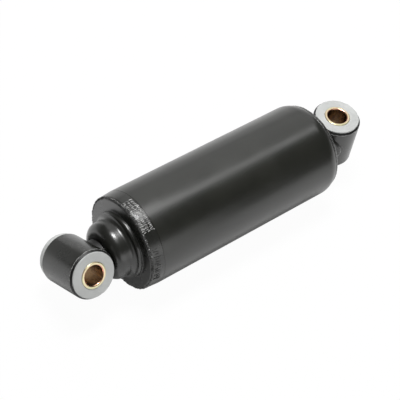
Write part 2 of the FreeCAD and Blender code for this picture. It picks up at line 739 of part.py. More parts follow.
def base_valve_body():
    """The sintered base valve: feet, flange, spigot, seats and two circles of ports."""
    outline = Outline(valve_under_x, rivet_bore)
    outline.line(valve_under_x, pressure_outer - s.valve_foot_wall)
    outline.line(base_floor_x, pressure_outer - s.valve_foot_wall)
    outline.line(base_floor_x, pressure_outer)
    outline.line(valve_seat_x, pressure_outer)
    outline.line(valve_seat_x, spigot_radius)
    outline.line(valve_top_x, spigot_radius)
    outline.line(valve_top_x, rivet_bore)
    body = turned_part("base_valve_body", outline)
    doc.recompute()
    port_channel(body, "base_inner_channel", valve_under_x, inner_port_circle, 1)
    port_channel(body, "base_outer_channel", valve_top_x, outer_port_circle, -1)
    ring_of_holes(body, "base_inner_ports", s.port_radius, inner_port_circle, s.inner_port_count, valve_top_x)
    ring_of_holes(body, "base_outer_ports", s.port_radius, outer_port_circle, s.outer_port_count, valve_top_x)
    foot_slots(body)
    return body


def port_channel(body, name, x, circle, way):
    """Turn the shallow channel that joins a circle of ports under their discs."""
    inner = circle - s.port_radius
    outer = circle + s.port_radius
    depth = s.seat_depth * way
    outline = Outline(x, inner)
    outline.line(x + depth, inner)
    outline.line(x + depth, outer)
    outline.line(x, outer)
    groove(body, name, "XY_Plane", "H_Axis", outline)


def foot_slots(body):
    """Cut the slots that let the oil in between the feet of the base valve."""
    half = s.valve_slot_width / 2
    start = pressure_outer - s.valve_foot_wall - s.valve_foot_wall
    end = pressure_outer + s.valve_foot_wall
    sketch = draw(
        body,
        "foot_slot_outline",
        "YZ_Plane",
        Outline(start, -half).line(end, -half).line(end, half).line(start, half),
    )
    sketch.setExpression("AttachmentOffset.Base.z", base_floor_x.text)
    doc.recompute()
    pocket = body.newObject("PartDesign::Pocket", "foot_slot")
    pocket.Profile = sketch
    pocket.Reversed = True
    pocket.setExpression("Length", s.valve_foot.text)
    cut_away(pocket, pocket.BaseFeature)
    repeat_round(body, "foot_slots", pocket, s.valve_slot_count)


def base_discs():
    """The discs under the base valve, the largest against its seat."""
    for index in range(BASE_DISC_COUNT):
        end_x = valve_under_x - s.disc_thickness * index
        outer = disc_radius - base_disc_step * index
        name = f"base_compression_disc_{index + 1}"
        washer(name, end_x - s.disc_thickness, end_x, rivet_bore, outer)


def base_rivet():
    outline = Outline(base_stack_x - s.rivet_head, NONE)
    outline.line(base_stack_x - s.rivet_head, s.rivet_head_radius)
    outline.line(base_stack_x, s.rivet_head_radius)
    outline.line(base_stack_x, s.rivet_radius)
    outline.line(rivet_end_x - s.rivet_head, s.rivet_radius)
    outline.line(rivet_end_x - s.rivet_head, s.rivet_head_radius)
    outline.line(rivet_end_x, s.rivet_head_radius)
    outline.line(rivet_end_x, NONE)
    return turned_part("base_valve_rivet", outline)


def base_spacer():
    return washer("base_valve_spacer", valve_top_x, spacer_end_x, rivet_bore, s.spacer_radius)


def base_intake_plate():
    middle = outer_port_circle
    inner = middle - s.intake_plate_width / 2
    outer = middle + s.intake_plate_width / 2
    return washer("base_intake_plate", valve_top_x, valve_top_x + s.intake_plate_thickness, inner, outer)


def base_intake_spring():
    """The dished spring whose fingers press the ring plate on its ports."""
    plate_x = valve_top_x + s.intake_plate_thickness
    tip = outer_port_circle
    thick = s.intake_spring_thickness
    outline = Outline(spacer_end_x, rivet_bore)
    outline.line(spacer_end_x, s.spacer_radius)
    outline.line(plate_x, tip)
    outline.line(plate_x + thick, tip)
    outline.line(spacer_end_x + thick, s.spacer_radius)
    outline.line(spacer_end_x + thick, rivet_bore)
    body = turned_part("base_intake_spring", outline)
    doc.recompute()
    ring_of_holes(body, "finger_gaps", s.intake_finger_gap, tip, s.intake_finger_count, spacer_end_x)
    return body


# Rod assembly.
def piston_rod():
    """The rod, drawn from the rod eye's centre and hollowed to sit on its ring."""
    tip = rod_tip_x - eye_spacing
    shoulder = support_end_x - eye_spacing
    outline = Outline(tip, NONE)
    outline.line(tip, s.stud_radius - s.stud_chamfer)
    outline.line(tip + s.stud_chamfer, s.stud_radius)
    outline.line(shoulder, s.stud_radius)
    outline.line(shoulder, s.rod_radius)
    outline.line(NONE, s.rod_radius)
    outline.line(NONE, NONE)
    body = turned_part("piston_rod", outline)
    saddle = Outline(NONE, -half_width)
    saddle.line(s.ring_radius, -half_width)
    saddle.line(s.ring_radius, half_width)
    saddle.line(NONE, half_width)
    groove(body, "rod_saddle", "XZ_Plane", "V_Axis", saddle)
    place_at_rod_eye(body)
    return body


def rod_eye_welds():
    """The two wedges of weld in the corners between rod and ring."""
    reach = s.ring_radius - s.free_gap
    outer = doc.addObject("Part::Cylinder", "rod_weld_bead")
    outer.setExpression("Radius", (s.rod_radius + s.rod_weld).text)
    outer.setExpression("Height", reach.text)
    outer.Placement = Placement(Vector(-reach.value, 0, 0), Rotation(Vector(0, 1, 0), 90))
    outer.setExpression("Placement.Base.x", (-reach).text)
    inner = doc.addObject("Part::Cylinder", "rod_weld_bore")
    inner.setExpression("Radius", (s.rod_radius + s.press_gap).text)
    inner.setExpression("Height", s.ring_radius.text)
    inner.Placement = Placement(Vector(-s.ring_radius.value, 0, 0), Rotation(Vector(0, 1, 0), 90))
    inner.setExpression("Placement.Base.x", (-s.ring_radius).text)
    ring = doc.addObject("Part::Cylinder", "rod_weld_ring")
    ring.setExpression("Radius", s.ring_radius.text)
    ring.setExpression("Height", s.ring_width.text)
    ring.setExpression("Placement.Base.z", (-half_width).text)
    hollow = doc.addObject("Part::Cut", "rod_weld_hollow")
    hollow.Base = outer
    hollow.Tool = inner
    welds = doc.addObject("Part::Cut", "rod_eye_welds")
    welds.Base = hollow
    welds.Tool = ring
    welds.Label = "rod_eye_welds"
    place_at_rod_eye(welds)
    return welds


def piston():
    """The sintered piston: band groove, seats and two circles of ports."""
    groove_start = band_x - s.band_end_gap
    groove_end = band_x + s.band_width + s.band_end_gap
    groove_radius = band_bore - s.running_gap
    outline = Outline(piston_x, stud_bore)
    outline.line(piston_x, piston_radius - s.piston_chamfer)
    outline.line(piston_x + s.piston_chamfer, piston_radius)
    outline.line(groove_start, piston_radius)
    outline.line(groove_start, groove_radius)
    outline.line(groove_end, groove_radius)
    outline.line(groove_end, piston_radius)
    outline.line(piston_end_x - s.piston_chamfer, piston_radius)
    outline.line(piston_end_x, piston_radius - s.piston_chamfer)
    outline.line(piston_end_x, stud_bore)
    body = turned_part("piston", outline)
    doc.recompute()
    port_channel(body, "rebound_channel", piston_x, inner_port_circle, 1)
    port_channel(body, "check_channel", piston_end_x, outer_port_circle, -1)
    ring_of_holes(body, "rebound_ports", s.port_radius, inner_port_circle, s.inner_port_count, piston_x)
    ring_of_holes(body, "check_ports", s.port_radius, outer_port_circle, s.outer_port_count, piston_x)
    return body


def piston_band():
    return washer("piston_band", band_x, band_x + s.band_width, band_bore, band_radius)


def rebound_discs():
    """The discs under the piston, the largest against its seat."""
    for index in range(REBOUND_DISC_COUNT):
        end_x = piston_x - s.disc_thickness * index
        outer = disc_radius - rebound_disc_step * index
        washer(f"rebound_disc_{index + 1}", end_x - s.disc_thickness, end_x, stud_bore, outer)


def check_disc():
    """The disc over the outer ports, with windows over the inner ones."""
    body = washer("compression_check_disc", piston_end_x, check_end_x, stud_bore, s.pressure_radius - s.check_disc_gap)
    doc.recompute()
    ring_of_holes(body, "check_windows", s.port_radius, inner_port_circle, s.inner_port_count, piston_end_x)
    return body


def support_washer():
    """The washer that backs the check disc, slotted by holes over its windows."""
    body = washer("disc_support_washer", check_end_x, support_end_x, stud_bore, disc_radius)
    doc.recompute()
    ring_of_holes(body, "support_windows", s.port_radius, inner_port_circle, s.inner_port_count, check_end_x)
    return body


def piston_nut():
    """The hexagon nut that clamps the piston and its discs on the rod."""
    across_corners = s.nut_flats / (2 * math.cos(math.pi / HEXAGON))
    prism = doc.addObject("Part::Prism", "piston_nut_hexagon")
    prism.Polygon = HEXAGON
    prism.setExpression("Circumradius", across_corners.text)
    prism.setExpression("Height", s.nut_thickness.text)
    bore = doc.addObject("Part::Cylinder", "piston_nut_bore")
    bore.setExpression("Radius", stud_bore.text)
    bore.setExpression("Height", s.nut_thickness.text)
    nut = doc.addObject("Part::Cut", "piston_nut")
    nut.Base = prism
    nut.Tool = bore
    nut.Label = "piston_nut"
    nut.Placement = Placement(Vector(nut_x.value, 0, 0), Rotation(Vector(0, 1, 0), 90))
    nut.setExpression("Placement.Base.x", nut_x.text)
    return nut


def rebound_bumper():
    """The rubber ring that softens the end of the rebound stroke."""
    bore = s.rod_radius + s.press_gap
    outer = bore + s.bumper_wall
    outline = Outline(support_end_x, bore)
    outline.line(support_end_x, outer)
    outline.line(bumper_end_x - s.bumper_round, outer)
    outline.arc(bumper_end_x, outer - s.bumper_round, s.bumper_round, "right")
    outline.line(bumper_end_x, bore)
    return turned_part("rebound_bumper", outline)


def build():
    """Make every sub-part."""
    outer_tube()
    base_cap()
    base_cap_weld()
    base_stem()
    base_stem_weld()
    eye_ring("body_eye_ring", False)
    eye_bush("body_eye_bush_upper", 1, flange_face, False)
    eye_bush("body_eye_bush_lower", -1, flange_face, False)
    eye_sleeve("body_eye_sleeve", sleeve_face, False)
    stepped_end_cap()
    pressure_tube()
    rod_guide()
    guide_bush()
    rod_seal()
    seal_washer()
    packing_spring()
    rod_wiper()
    guide_o_ring()
    base_valve_body()
    base_discs()
    base_rivet()
    base_spacer()
    base_intake_plate()
    base_intake_spring()
    piston_rod()
    eye_ring("rod_eye_ring", True)
    rod_eye_welds()
    eye_bush("rod_eye_bush_near", 1, flange_face, True)
    eye_bush("rod_eye_bush_far", -1, far_flange_face, True)
    eye_sleeve("rod_eye_sleeve", far_sleeve_face, True)
    piston()
    piston_band()
    rebound_discs()
    check_disc()
    support_washer()
    piston_nut()
    rebound_bumper()


# Sub-parts that are not bodies: the last step of a chain of Part operations.
PART_OPERATIONS = ["guide_o_ring", "packing_spring", "rod_eye_welds", "piston_nut"]


def sub_parts():
    """Every finished sub-part: the bodies and the named Part operations."""
    bodies = [item for item in doc.Objects if item.isDerivedFrom("PartDesign::Body")]
    others = [doc.getObject(name) for name in PART_OPERATIONS]
    return bodies + others


def check_and_write():
    """Refuse a failed object, then write one file for each sub-part."""
    doc.recompute()
    for item in doc.Objects:
        if "Invalid" in item.State or "Error" in item.State:
            raise ValueError(f"{item.Label} failed: {item.State}")
    finished = sub_parts()
    for item in finished:
        if item.Shape.isNull() or not item.Shape.isValid() or not item.Shape.Solids:
            raise ValueError(f"{item.Label} has no valid solid")
    os.makedirs("parts", exist_ok=True)
    for item in finished:
        item.Shape.exportStep(f"parts/{item.Label}.step")
        print(f"{item.Label}: {len(item.Shape.Solids)} solid, {item.Shape.Volume:.1f} mm3")


build()
check_and_write()
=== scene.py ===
"""Seat shock absorber: formed shells, weld beads, marks and finishes round the CAD frame."""

import json
import logging
import math
import random
from dataclasses import dataclass, field
from enum import Enum
from typing import Iterable, NamedTuple, Sequence

import bmesh
import bpy
from mathutils import Matrix, Vector, noise


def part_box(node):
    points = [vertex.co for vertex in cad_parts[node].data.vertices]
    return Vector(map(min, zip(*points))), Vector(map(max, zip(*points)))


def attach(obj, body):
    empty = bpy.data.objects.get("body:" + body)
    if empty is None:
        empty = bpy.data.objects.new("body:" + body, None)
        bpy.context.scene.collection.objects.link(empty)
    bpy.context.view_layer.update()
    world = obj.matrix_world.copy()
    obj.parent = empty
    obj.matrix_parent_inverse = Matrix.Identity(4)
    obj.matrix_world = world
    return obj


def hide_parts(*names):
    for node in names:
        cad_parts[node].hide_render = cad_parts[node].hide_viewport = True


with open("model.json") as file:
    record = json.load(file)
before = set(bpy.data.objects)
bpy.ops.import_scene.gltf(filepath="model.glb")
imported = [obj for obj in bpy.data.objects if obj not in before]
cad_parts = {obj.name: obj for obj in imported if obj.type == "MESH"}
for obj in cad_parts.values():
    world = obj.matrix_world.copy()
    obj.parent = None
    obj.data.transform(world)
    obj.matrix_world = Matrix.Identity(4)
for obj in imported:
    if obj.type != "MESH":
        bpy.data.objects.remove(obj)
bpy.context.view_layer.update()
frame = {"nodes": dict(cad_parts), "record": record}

LOG = logging.getLogger("seat_shock_absorber")
MM = 0.001
MERGE_DISTANCE = 1e-7
EYE_SPACING = 165.4 * MM
EYE_CLOCKING = math.radians(62.5)
EYE_RING_RADIUS = 12.5 * MM
SKIRT_TAPER = 0.38 * MM
FORMED_CREASE = 32.0
WELD_CREASE = 60.0
ARC_STEP = 7.0
MIDDLE = (0.08, 0.0, 0.0)

Colour = tuple[float, float, float]
Socket = bpy.types.NodeSocket


class Axis(Enum):
    """The line that a turned piece is spun round."""

    DAMPER = "X"
    EYE = "Z"


class Body(Enum):
    """The CAD bodies that the scene's own pieces ride on."""

    DAMPER = "damper_body"
    ROD = "rod_assembly"
    BODY_SLEEVE = "body_eye_sleeve"
    ROD_SLEEVE = "rod_eye_sleeve"


class Slot(Enum):
    """The record's material slots."""

    PAINT = "black_paint"
    NYLON = "nylon"
    ZINC = "yellow_zinc"
    STEEL = "bare_steel"
    SPRING = "spring_steel"
    CHROME = "hard_chrome"
    SINTER = "sintered_iron"
    BRONZE = "bearing_bronze"
    RUBBER = "rubber"
    PTFE = "ptfe"


class Corner(NamedTuple):
    """A corner of a turned outline.

    Attributes:
        along: Place along the axis, in metres.
        out: Distance from the axis, in metres.
        rounding: Radius of the rounding at this corner, in metres.
    """

    along: float
    out: float
    rounding: float = 0.0


class NodeSheet:
    """A short way to lay out shader nodes in one tree."""

    def __init__(self, tree: bpy.types.NodeTree) -> None:
        """Keep the tree that the nodes go into.

        Args:
            tree: A material's node tree, a world's or a node group.
        """
        self.tree = tree

    def add(self, kind: str, values: dict[str, object] | None = None, **settings: object) -> bpy.types.Node:
        """Add a node.

        Args:
            kind: The node's type name.
            values: Input values or links by socket name.
            settings: Properties of the node itself, set before its inputs.

        Returns:
            The new node.
        """
        node = self.tree.nodes.new(kind)
        for key, value in settings.items():
            setattr(node, key, value)
        for socket, value in (values or {}).items():
            self.put(node.inputs[socket], value)
        return node

    def put(self, socket: Socket, value: object) -> None:
        """Link a socket to an output, or set its value.

        Args:
            socket: The input socket.
            value: An output socket, or a plain value.
        """
        if isinstance(value, bpy.types.NodeSocket):
            self.tree.links.new(value, socket)
        else:
            socket.default_value = value

    def ramp(self, factor: Socket, stops: Sequence[tuple[float, Colour]]) -> Socket:
        """Add a colour ramp.

        Args:
            factor: The output that drives it.
            stops: Place and colour of each stop.

        Returns:
            The ramp's colour output.
        """
        node = self.add("ShaderNodeValToRGB", {"Fac": factor})
        elements = node.color_ramp.elements
        while len(elements) < len(stops):
            elements.new(0.5)
        for element, (place, colour) in zip(elements, stops):
            element.position = place
            element.color = (*colour, 1.0)
        return node.outputs["Color"]

    def map_range(self, value: Socket, low: float, high: float, to_low: float, to_high: float) -> Socket:
        """Map a value from one range to another, clamped.

        Args:
            value: The output to map.
            low: Start of the range it has.
            high: End of the range it has.
            to_low: Start of the range it gets.
            to_high: End of the range it gets.

        Returns:
            The mapped output.
        """
        node = self.add(
            "ShaderNodeMapRange",
            {"Value": value, "From Min": low, "From Max": high, "To Min": to_low, "To Max": to_high},
        )
        return node.outputs["Result"]

    def maths(self, operation: str, first: object, second: object) -> Socket:
        """Add a math node.

        Args:
            operation: Its operation.
            first: First input.
            second: Second input.

        Returns:
            Its output.
        """
        node = self.add("ShaderNodeMath", operation=operation)
        self.put(node.inputs[0], first)
        self.put(node.inputs[1], second)
        return node.outputs[0]

    def mix(self, factor: object, first: object, second: object) -> Socket:
        """Mix two colours.

        Args:
            factor: How much of the second colour shows.
            first: First colour.
            second: Second colour.

        Returns:
            The mixed colour.
        """
        share_in, first_colour_in, second_colour_in, colour_out = 0, 6, 7, 2
        node = self.add("ShaderNodeMix", data_type="RGBA")
        self.put(node.inputs[share_in], factor)
        self.put(node.inputs[first_colour_in], first)
        self.put(node.inputs[second_colour_in], second)
        return node.outputs[colour_out]

    def coat(self, colour: Socket, roughness: Socket, metallic: float, height: Socket,
             relief: tuple[float, float]) -> bpy.types.Node:
        """Add the surface shader with its fine relief, and show it.

        Args:
            colour: The base colour.
            roughness: The roughness.
            metallic: 1 for bare metal.
            height: Height of the relief, from 0 to 1.
            relief: Strength of the relief, and its depth in metres.

        Returns:
            The shader node.
        """
        strength, depth = relief
        bump = self.add("ShaderNodeBump", {"Strength": strength, "Distance": depth, "Height": height})
        shader = self.add("ShaderNodeBsdfPrincipled", {
            "Base Color": colour,
            "Roughness": roughness,
            "Metallic": metallic,
            "Normal": bump.outputs["Normal"],
        })
        self.show(shader.outputs["BSDF"])
        return shader

    def whiten(self, plain: Socket, white: Socket, camera: float, mirrored: float) -> Socket:
        """Mix in a white that lights nothing, for the background.

        Args:
            plain: The shader that lights and shades the scene.
            white: The white shader.
            camera: Share of the white that the camera sees.
            mirrored: Share of it that metal, paint and glass show.

        Returns:
            The mixed shader.
        """
        path = self.add("ShaderNodeLightPath")
        seen = self.maths("MULTIPLY", path.outputs["Is Camera Ray"], camera)
        reflected = self.maths("MAXIMUM", path.outputs["Is Glossy Ray"], path.outputs["Is Transmission Ray"])
        share = self.maths("MAXIMUM", seen, self.maths("MULTIPLY", reflected, mirrored))
        mixed = self.add("ShaderNodeMixShader")
        for socket, value in zip(mixed.inputs, (share, plain, white)):
            self.put(socket, value)
        return mixed.outputs["Shader"]

    def show(self, shader: Socket, kind: str = "ShaderNodeOutputMaterial") -> None:
        """Link a shader to a new output node of the given kind."""
        self.add(kind, {"Surface": shader})


def start_material(name: str) -> tuple[bpy.types.Material, NodeSheet]:
    """Start a material with nothing in its tree.

    Args:
        name: The material's name.

    Returns:
        The material and a sheet to draw on.
    """
    made = bpy.data.materials.new(name)
    made.use_nodes = True
    made.node_tree.nodes.clear()
    return made, NodeSheet(made.node_tree)


def new_group(name: str, inputs: dict[str, float],
              outputs: Iterable[str]) -> tuple[NodeSheet, bpy.types.Node, bpy.types.Node]:
    """Start a shader node group with float sockets.

    Args:
        name: The group's name.
        inputs: Name and first value of each input.
        outputs: Name of each output.

    Returns:
        The sheet to draw on, the input node and the output node.
    """
    tree = bpy.data.node_groups.new(name, "ShaderNodeTree")
    for label, value in inputs.items():
        socket = tree.interface.new_socket(label, in_out="INPUT", socket_type="NodeSocketFloat")
        socket.default_value = value
    for label in outputs:
        tree.interface.new_socket(label, in_out="OUTPUT", socket_type="NodeSocketFloat")
    sheet = NodeSheet(tree)
    return sheet, sheet.add("NodeGroupInput"), sheet.add("NodeGroupOutput")


def grain_group() -> bpy.types.NodeTree:
    """Make fine grain with a slow change of tone.

    Returns:
        A group with the inputs Fine and Broad, in cells per metre, and the outputs Height
        and Tone, both from 0 to 1.
    """
    sheet, source, target = new_group("surface_grain", {"Fine": 1500.0, "Broad": 40.0}, ("Height", "Tone"))
    place = sheet.add("ShaderNodeTexCoord").outputs["Object"]
    for scale, detail, output in (("Fine", 3.0, "Height"), ("Broad", 4.0, "Tone")):
        cells = sheet.add(
            "ShaderNodeTexNoise", {"Vector": place, "Scale": source.outputs[scale], "Detail": detail})
        sheet.put(target.inputs[output], cells.outputs["Fac"])
    return sheet.tree


def smudge_group() -> bpy.types.NodeTree:
    """Make patches where handling has changed the gloss, with small specks.

    Returns:
        A group with the inputs Size and Specks, in cells per metre, and the outputs Smudge
        and Speck, both from 0 to 1.
    """
    inputs = {"Size": 60.0, "Specks": 900.0}
    sheet, source, target = new_group("handling_smudges", inputs, ("Smudge", "Speck"))
    place = sheet.add("ShaderNodeTexCoord").outputs["Object"]
    patch = sheet.add("ShaderNodeTexNoise", {
        "Vector": place,
        "Scale": source.outputs["Size"],
        "Detail": 6.0,
        "Roughness": 0.62,
        "Distortion": 0.6,
    })
    cells = sheet.add("ShaderNodeTexVoronoi", {"Vector": place, "Scale": source.outputs["Specks"]})
    smudge = sheet.map_range(patch.outputs["Fac"], low=0.42, high=0.68, to_low=0.0, to_high=1.0)
    speck = sheet.map_range(cells.outputs["Distance"], low=0.05, high=0.11, to_low=1.0, to_high=0.0)
    sheet.put(target.inputs["Smudge"], smudge)
    sheet.put(target.inputs["Speck"], speck)
    return sheet.tree


def turning_group() -> bpy.types.NodeTree:
    """Make the fine rings that a lathe leaves round the damper's axis.

    Returns:
        A group with the input Pitch, in rings per metre, and the output Height, from 0 to 1.
    """
    sheet, source, target = new_group("turning_marks", {"Pitch": 2500.0}, ("Height",))
    place = sheet.add("ShaderNodeTexCoord").outputs["Object"]
    stretch = sheet.add("ShaderNodeMapping", {"Vector": place, "Scale": (1.0, 0.02, 0.02)})
    rings = sheet.add(
        "ShaderNodeTexNoise",
        {"Vector": stretch.outputs["Vector"], "Scale": source.outputs["Pitch"], "Detail": 2.0},
    )
    sheet.put(target.inputs["Height"], rings.outputs["Fac"])
    return sheet.tree


@dataclass
class Effects:
    """The shared shader node groups, built once.

    Attributes:
        grain: Fine grain and a slow change of tone.
        smudges: Handled patches and specks.
        turning: Rings left by a lathe.
    """

    grain: bpy.types.NodeTree = field(default_factory=grain_group)
    smudges: bpy.types.NodeTree = field(default_factory=smudge_group)
    turning: bpy.types.NodeTree = field(default_factory=turning_group)


@dataclass(frozen=True)
class Finish:
    """A surface finish with grain, smudges and an optional metal base.

    Attributes:
        name: The material's name.
        deep: Colour in the low places of the tone.
        light: Colour in the high places of the tone.
        roughness: Roughness from clean to smudged.
        metallic: 1 for bare metal.
        fine: Grain cells per metre.
        broad: Tone cells per metre.
        bump: Strength of the grain.
        bump_depth: Depth of the grain, in metres.
        speck_tone: Colour of the small specks.
        speck_share: How strongly the specks show.
        turned: Rings per metre left by turning, or 0.
        density: Refractive index of the surface.
    """

    name: str
    deep: Colour
    light: Colour
    roughness: tuple[float, float]
    metallic: float = 0.0
    fine: float = 1500.0
    broad: float = 40.0
    bump: float = 0.2
    bump_depth: float = 0.05 * MM
    speck_tone: Colour = (0.5, 0.5, 0.5)
    speck_share: float = 0.0
    turned: float = 0.0
    density: float = 1.5

    def material(self, effects: Effects) -> bpy.types.Material:
        """Make the material.

        Args:
            effects: The shared node groups.

        Returns:
            The finished material.
        """
        made, sheet = start_material(self.name)
        grain = sheet.add(
            "ShaderNodeGroup", {"Fine": self.fine, "Broad": self.broad}, node_tree=effects.grain)
        smudges = sheet.add("ShaderNodeGroup", node_tree=effects.smudges)
        colour = sheet.ramp(grain.outputs["Tone"], ((0.35, self.deep), (0.65, self.light)))
        speck = sheet.maths("MULTIPLY", smudges.outputs["Speck"], self.speck_share)
        colour = sheet.mix(speck, colour, (*self.speck_tone, 1.0))
        rough = sheet.map_range(smudges.outputs["Smudge"], 0.0, 1.0, *self.roughness)
        height = grain.outputs["Height"]
        if self.turned:
            rings = sheet.add("ShaderNodeGroup", {"Pitch": self.turned}, node_tree=effects.turning)
            height = sheet.maths("ADD", height, rings.outputs["Height"])
        shader = sheet.coat(colour, rough, self.metallic, height, (self.bump, self.bump_depth))
        shader.inputs["IOR"].default_value = self.density
        return made


@dataclass(frozen=True)
class PlatedZinc:
    """Yellow-passivated zinc plate: gold with drifts of pink and green.

    Attributes:
        name: The material's name.
        tones: The passivation's colours, spread over the surface.
        drift: Colour cells per metre.
        roughness: Roughness from bright to dull.
    """

    name: str
    tones: tuple[Colour, ...]
    drift: float
    roughness: tuple[float, float]

    def material(self, effects: Effects) -> bpy.types.Material:
        """Make the material.

        Args:
            effects: The shared node groups.

        Returns:
            The finished material.
        """
        made, sheet = start_material(self.name)
        place = sheet.add("ShaderNodeTexCoord").outputs["Object"]
        drift = sheet.add(
            "ShaderNodeTexNoise", {"Vector": place, "Scale": self.drift, "Detail": 2.0, "Distortion": 0.8})
        first, spread = 0.3, 0.4 / (len(self.tones) - 1)
        stops = [(first + spread * index, tone) for index, tone in enumerate(self.tones)]
        colour = sheet.ramp(drift.outputs["Fac"], stops)
        grain = sheet.add("ShaderNodeGroup", {"Fine": 2600.0, "Broad": 120.0}, node_tree=effects.grain)
        rough = sheet.map_range(grain.outputs["Tone"], 0.3, 0.7, *self.roughness)
        sheet.coat(colour, rough, 1.0, grain.outputs["Height"], (0.15, 0.03 * MM))
        return made


FINISHES: dict[Slot, Finish | PlatedZinc] = {
    Slot.PAINT: Finish(
        "satin_black_paint", (0.0080, 0.0086, 0.0058), (0.0125, 0.0132, 0.0094), (0.28, 0.33),
        fine=1400.0, broad=55.0, bump=0.14, bump_depth=0.04 * MM,
        speck_tone=(0.10, 0.10, 0.10), speck_share=0.12, density=1.7),
    Slot.NYLON: Finish(
        "off_white_nylon", (0.50, 0.51, 0.50), (0.56, 0.57, 0.56), (0.42, 0.55),
        fine=1800.0, broad=90.0, speck_tone=(0.40, 0.38, 0.35), speck_share=0.3),
    Slot.ZINC: PlatedZinc(
        "yellow_zinc_plate",
        ((0.72, 0.72, 0.46), (0.80, 0.73, 0.47), (0.82, 0.68, 0.46), (0.80, 0.60, 0.50)),
        drift=160.0, roughness=(0.26, 0.38)),
    Slot.STEEL: Finish(
        "oiled_steel", (0.36, 0.36, 0.37), (0.52, 0.52, 0.53), (0.28, 0.42), metallic=1.0, turned=2200.0),
    Slot.SPRING: Finish(
        "blued_spring_steel", (0.10, 0.11, 0.15), (0.24, 0.25, 0.30), (0.25, 0.4),
        metallic=1.0, broad=200.0),
    Slot.CHROME: Finish(
        "ground_hard_chrome", (0.72, 0.72, 0.74), (0.80, 0.80, 0.82), (0.06, 0.12),
        metallic=1.0, fine=3000.0, bump=0.05, turned=4000.0),
    Slot.SINTER: Finish(
        "sintered_iron", (0.10, 0.10, 0.10), (0.20, 0.20, 0.20), (0.5, 0.7),
        metallic=0.8, fine=2600.0, bump=0.6, speck_tone=(0.02, 0.02, 0.02), speck_share=0.8),
    Slot.BRONZE: Finish(
        "bearing_bronze", (0.40, 0.24, 0.10), (0.62, 0.40, 0.20), (0.35, 0.5), metallic=1.0, fine=2200.0),
    Slot.RUBBER: Finish(
        "nitrile_rubber", (0.012, 0.012, 0.012), (0.022, 0.022, 0.022), (0.5, 0.7), fine=1800.0, bump=0.35),
    Slot.PTFE: Finish(
        "filled_low_friction_band", (0.09, 0.055, 0.03), (0.16, 0.10, 0.055), (0.4, 0.55), fine=2400.0),
}
GLOSSY_PAINT = Finish(
    "glossy_black_paint", (0.0070, 0.0074, 0.0056), (0.0105, 0.0110, 0.0086), (0.26, 0.32),
    fine=1100.0, broad=60.0, bump=0.12, bump_depth=0.04 * MM,
    speck_tone=(0.10, 0.10, 0.10), speck_share=0.1, density=1.7)
# Dull paint, rougher and darker than the glossy paint: the darker colour is painted shade, laid on the eye
# rings' chamfered ends and on the welds in the creases between parts.
DULL_SHADED_PAINT = Finish(
    "dull_black_paint_painted_shade", (0.004, 0.004, 0.0038), (0.007, 0.0072, 0.0065), (0.42, 0.55),
    fine=1300.0, bump=0.4, bump_depth=0.08 * MM)
# Pale grey paint: painted highlight, for the thin line at each eye ring's chamfer edge and for the ticks
# where the key light glints on the stamped marking.
PAINTED_HIGHLIGHT_PAINT = Finish(
    "pale_paint_painted_highlight", (0.10, 0.10, 0.097), (0.56, 0.56, 0.55), (0.36, 0.5),
    fine=1900.0, broad=700.0, bump=0.4, bump_depth=0.06 * MM)
GRAINY_PAINT = Finish(
    "grainy_rim_paint", (0.006, 0.006, 0.0055), (0.070, 0.070, 0.067), (0.20, 0.34),
    broad=1300.0, bump=0.8, bump_depth=0.15 * MM, density=1.7)
# Painted shade: darker, purple-brown zinc for the wall of the bolt bore, where the bore lies in shade.
SHADED_ZINC = PlatedZinc(
    "yellow_zinc_painted_shade_in_the_bore",
    ((0.34, 0.27, 0.28), (0.42, 0.34, 0.25), (0.50, 0.38, 0.26), (0.38, 0.28, 0.28)),
    drift=160.0, roughness=(0.18, 0.28))
# Painted highlight: coppery zinc for the rounded mouths of the bore, where light catches them.
MOUTH_HIGHLIGHT_ZINC = PlatedZinc(
    "yellow_zinc_painted_highlight_at_the_mouth",
    ((0.60, 0.44, 0.28), (0.78, 0.48, 0.30), (0.84, 0.44, 0.30), (0.74, 0.40, 0.34)),
    drift=220.0, roughness=(0.18, 0.30))


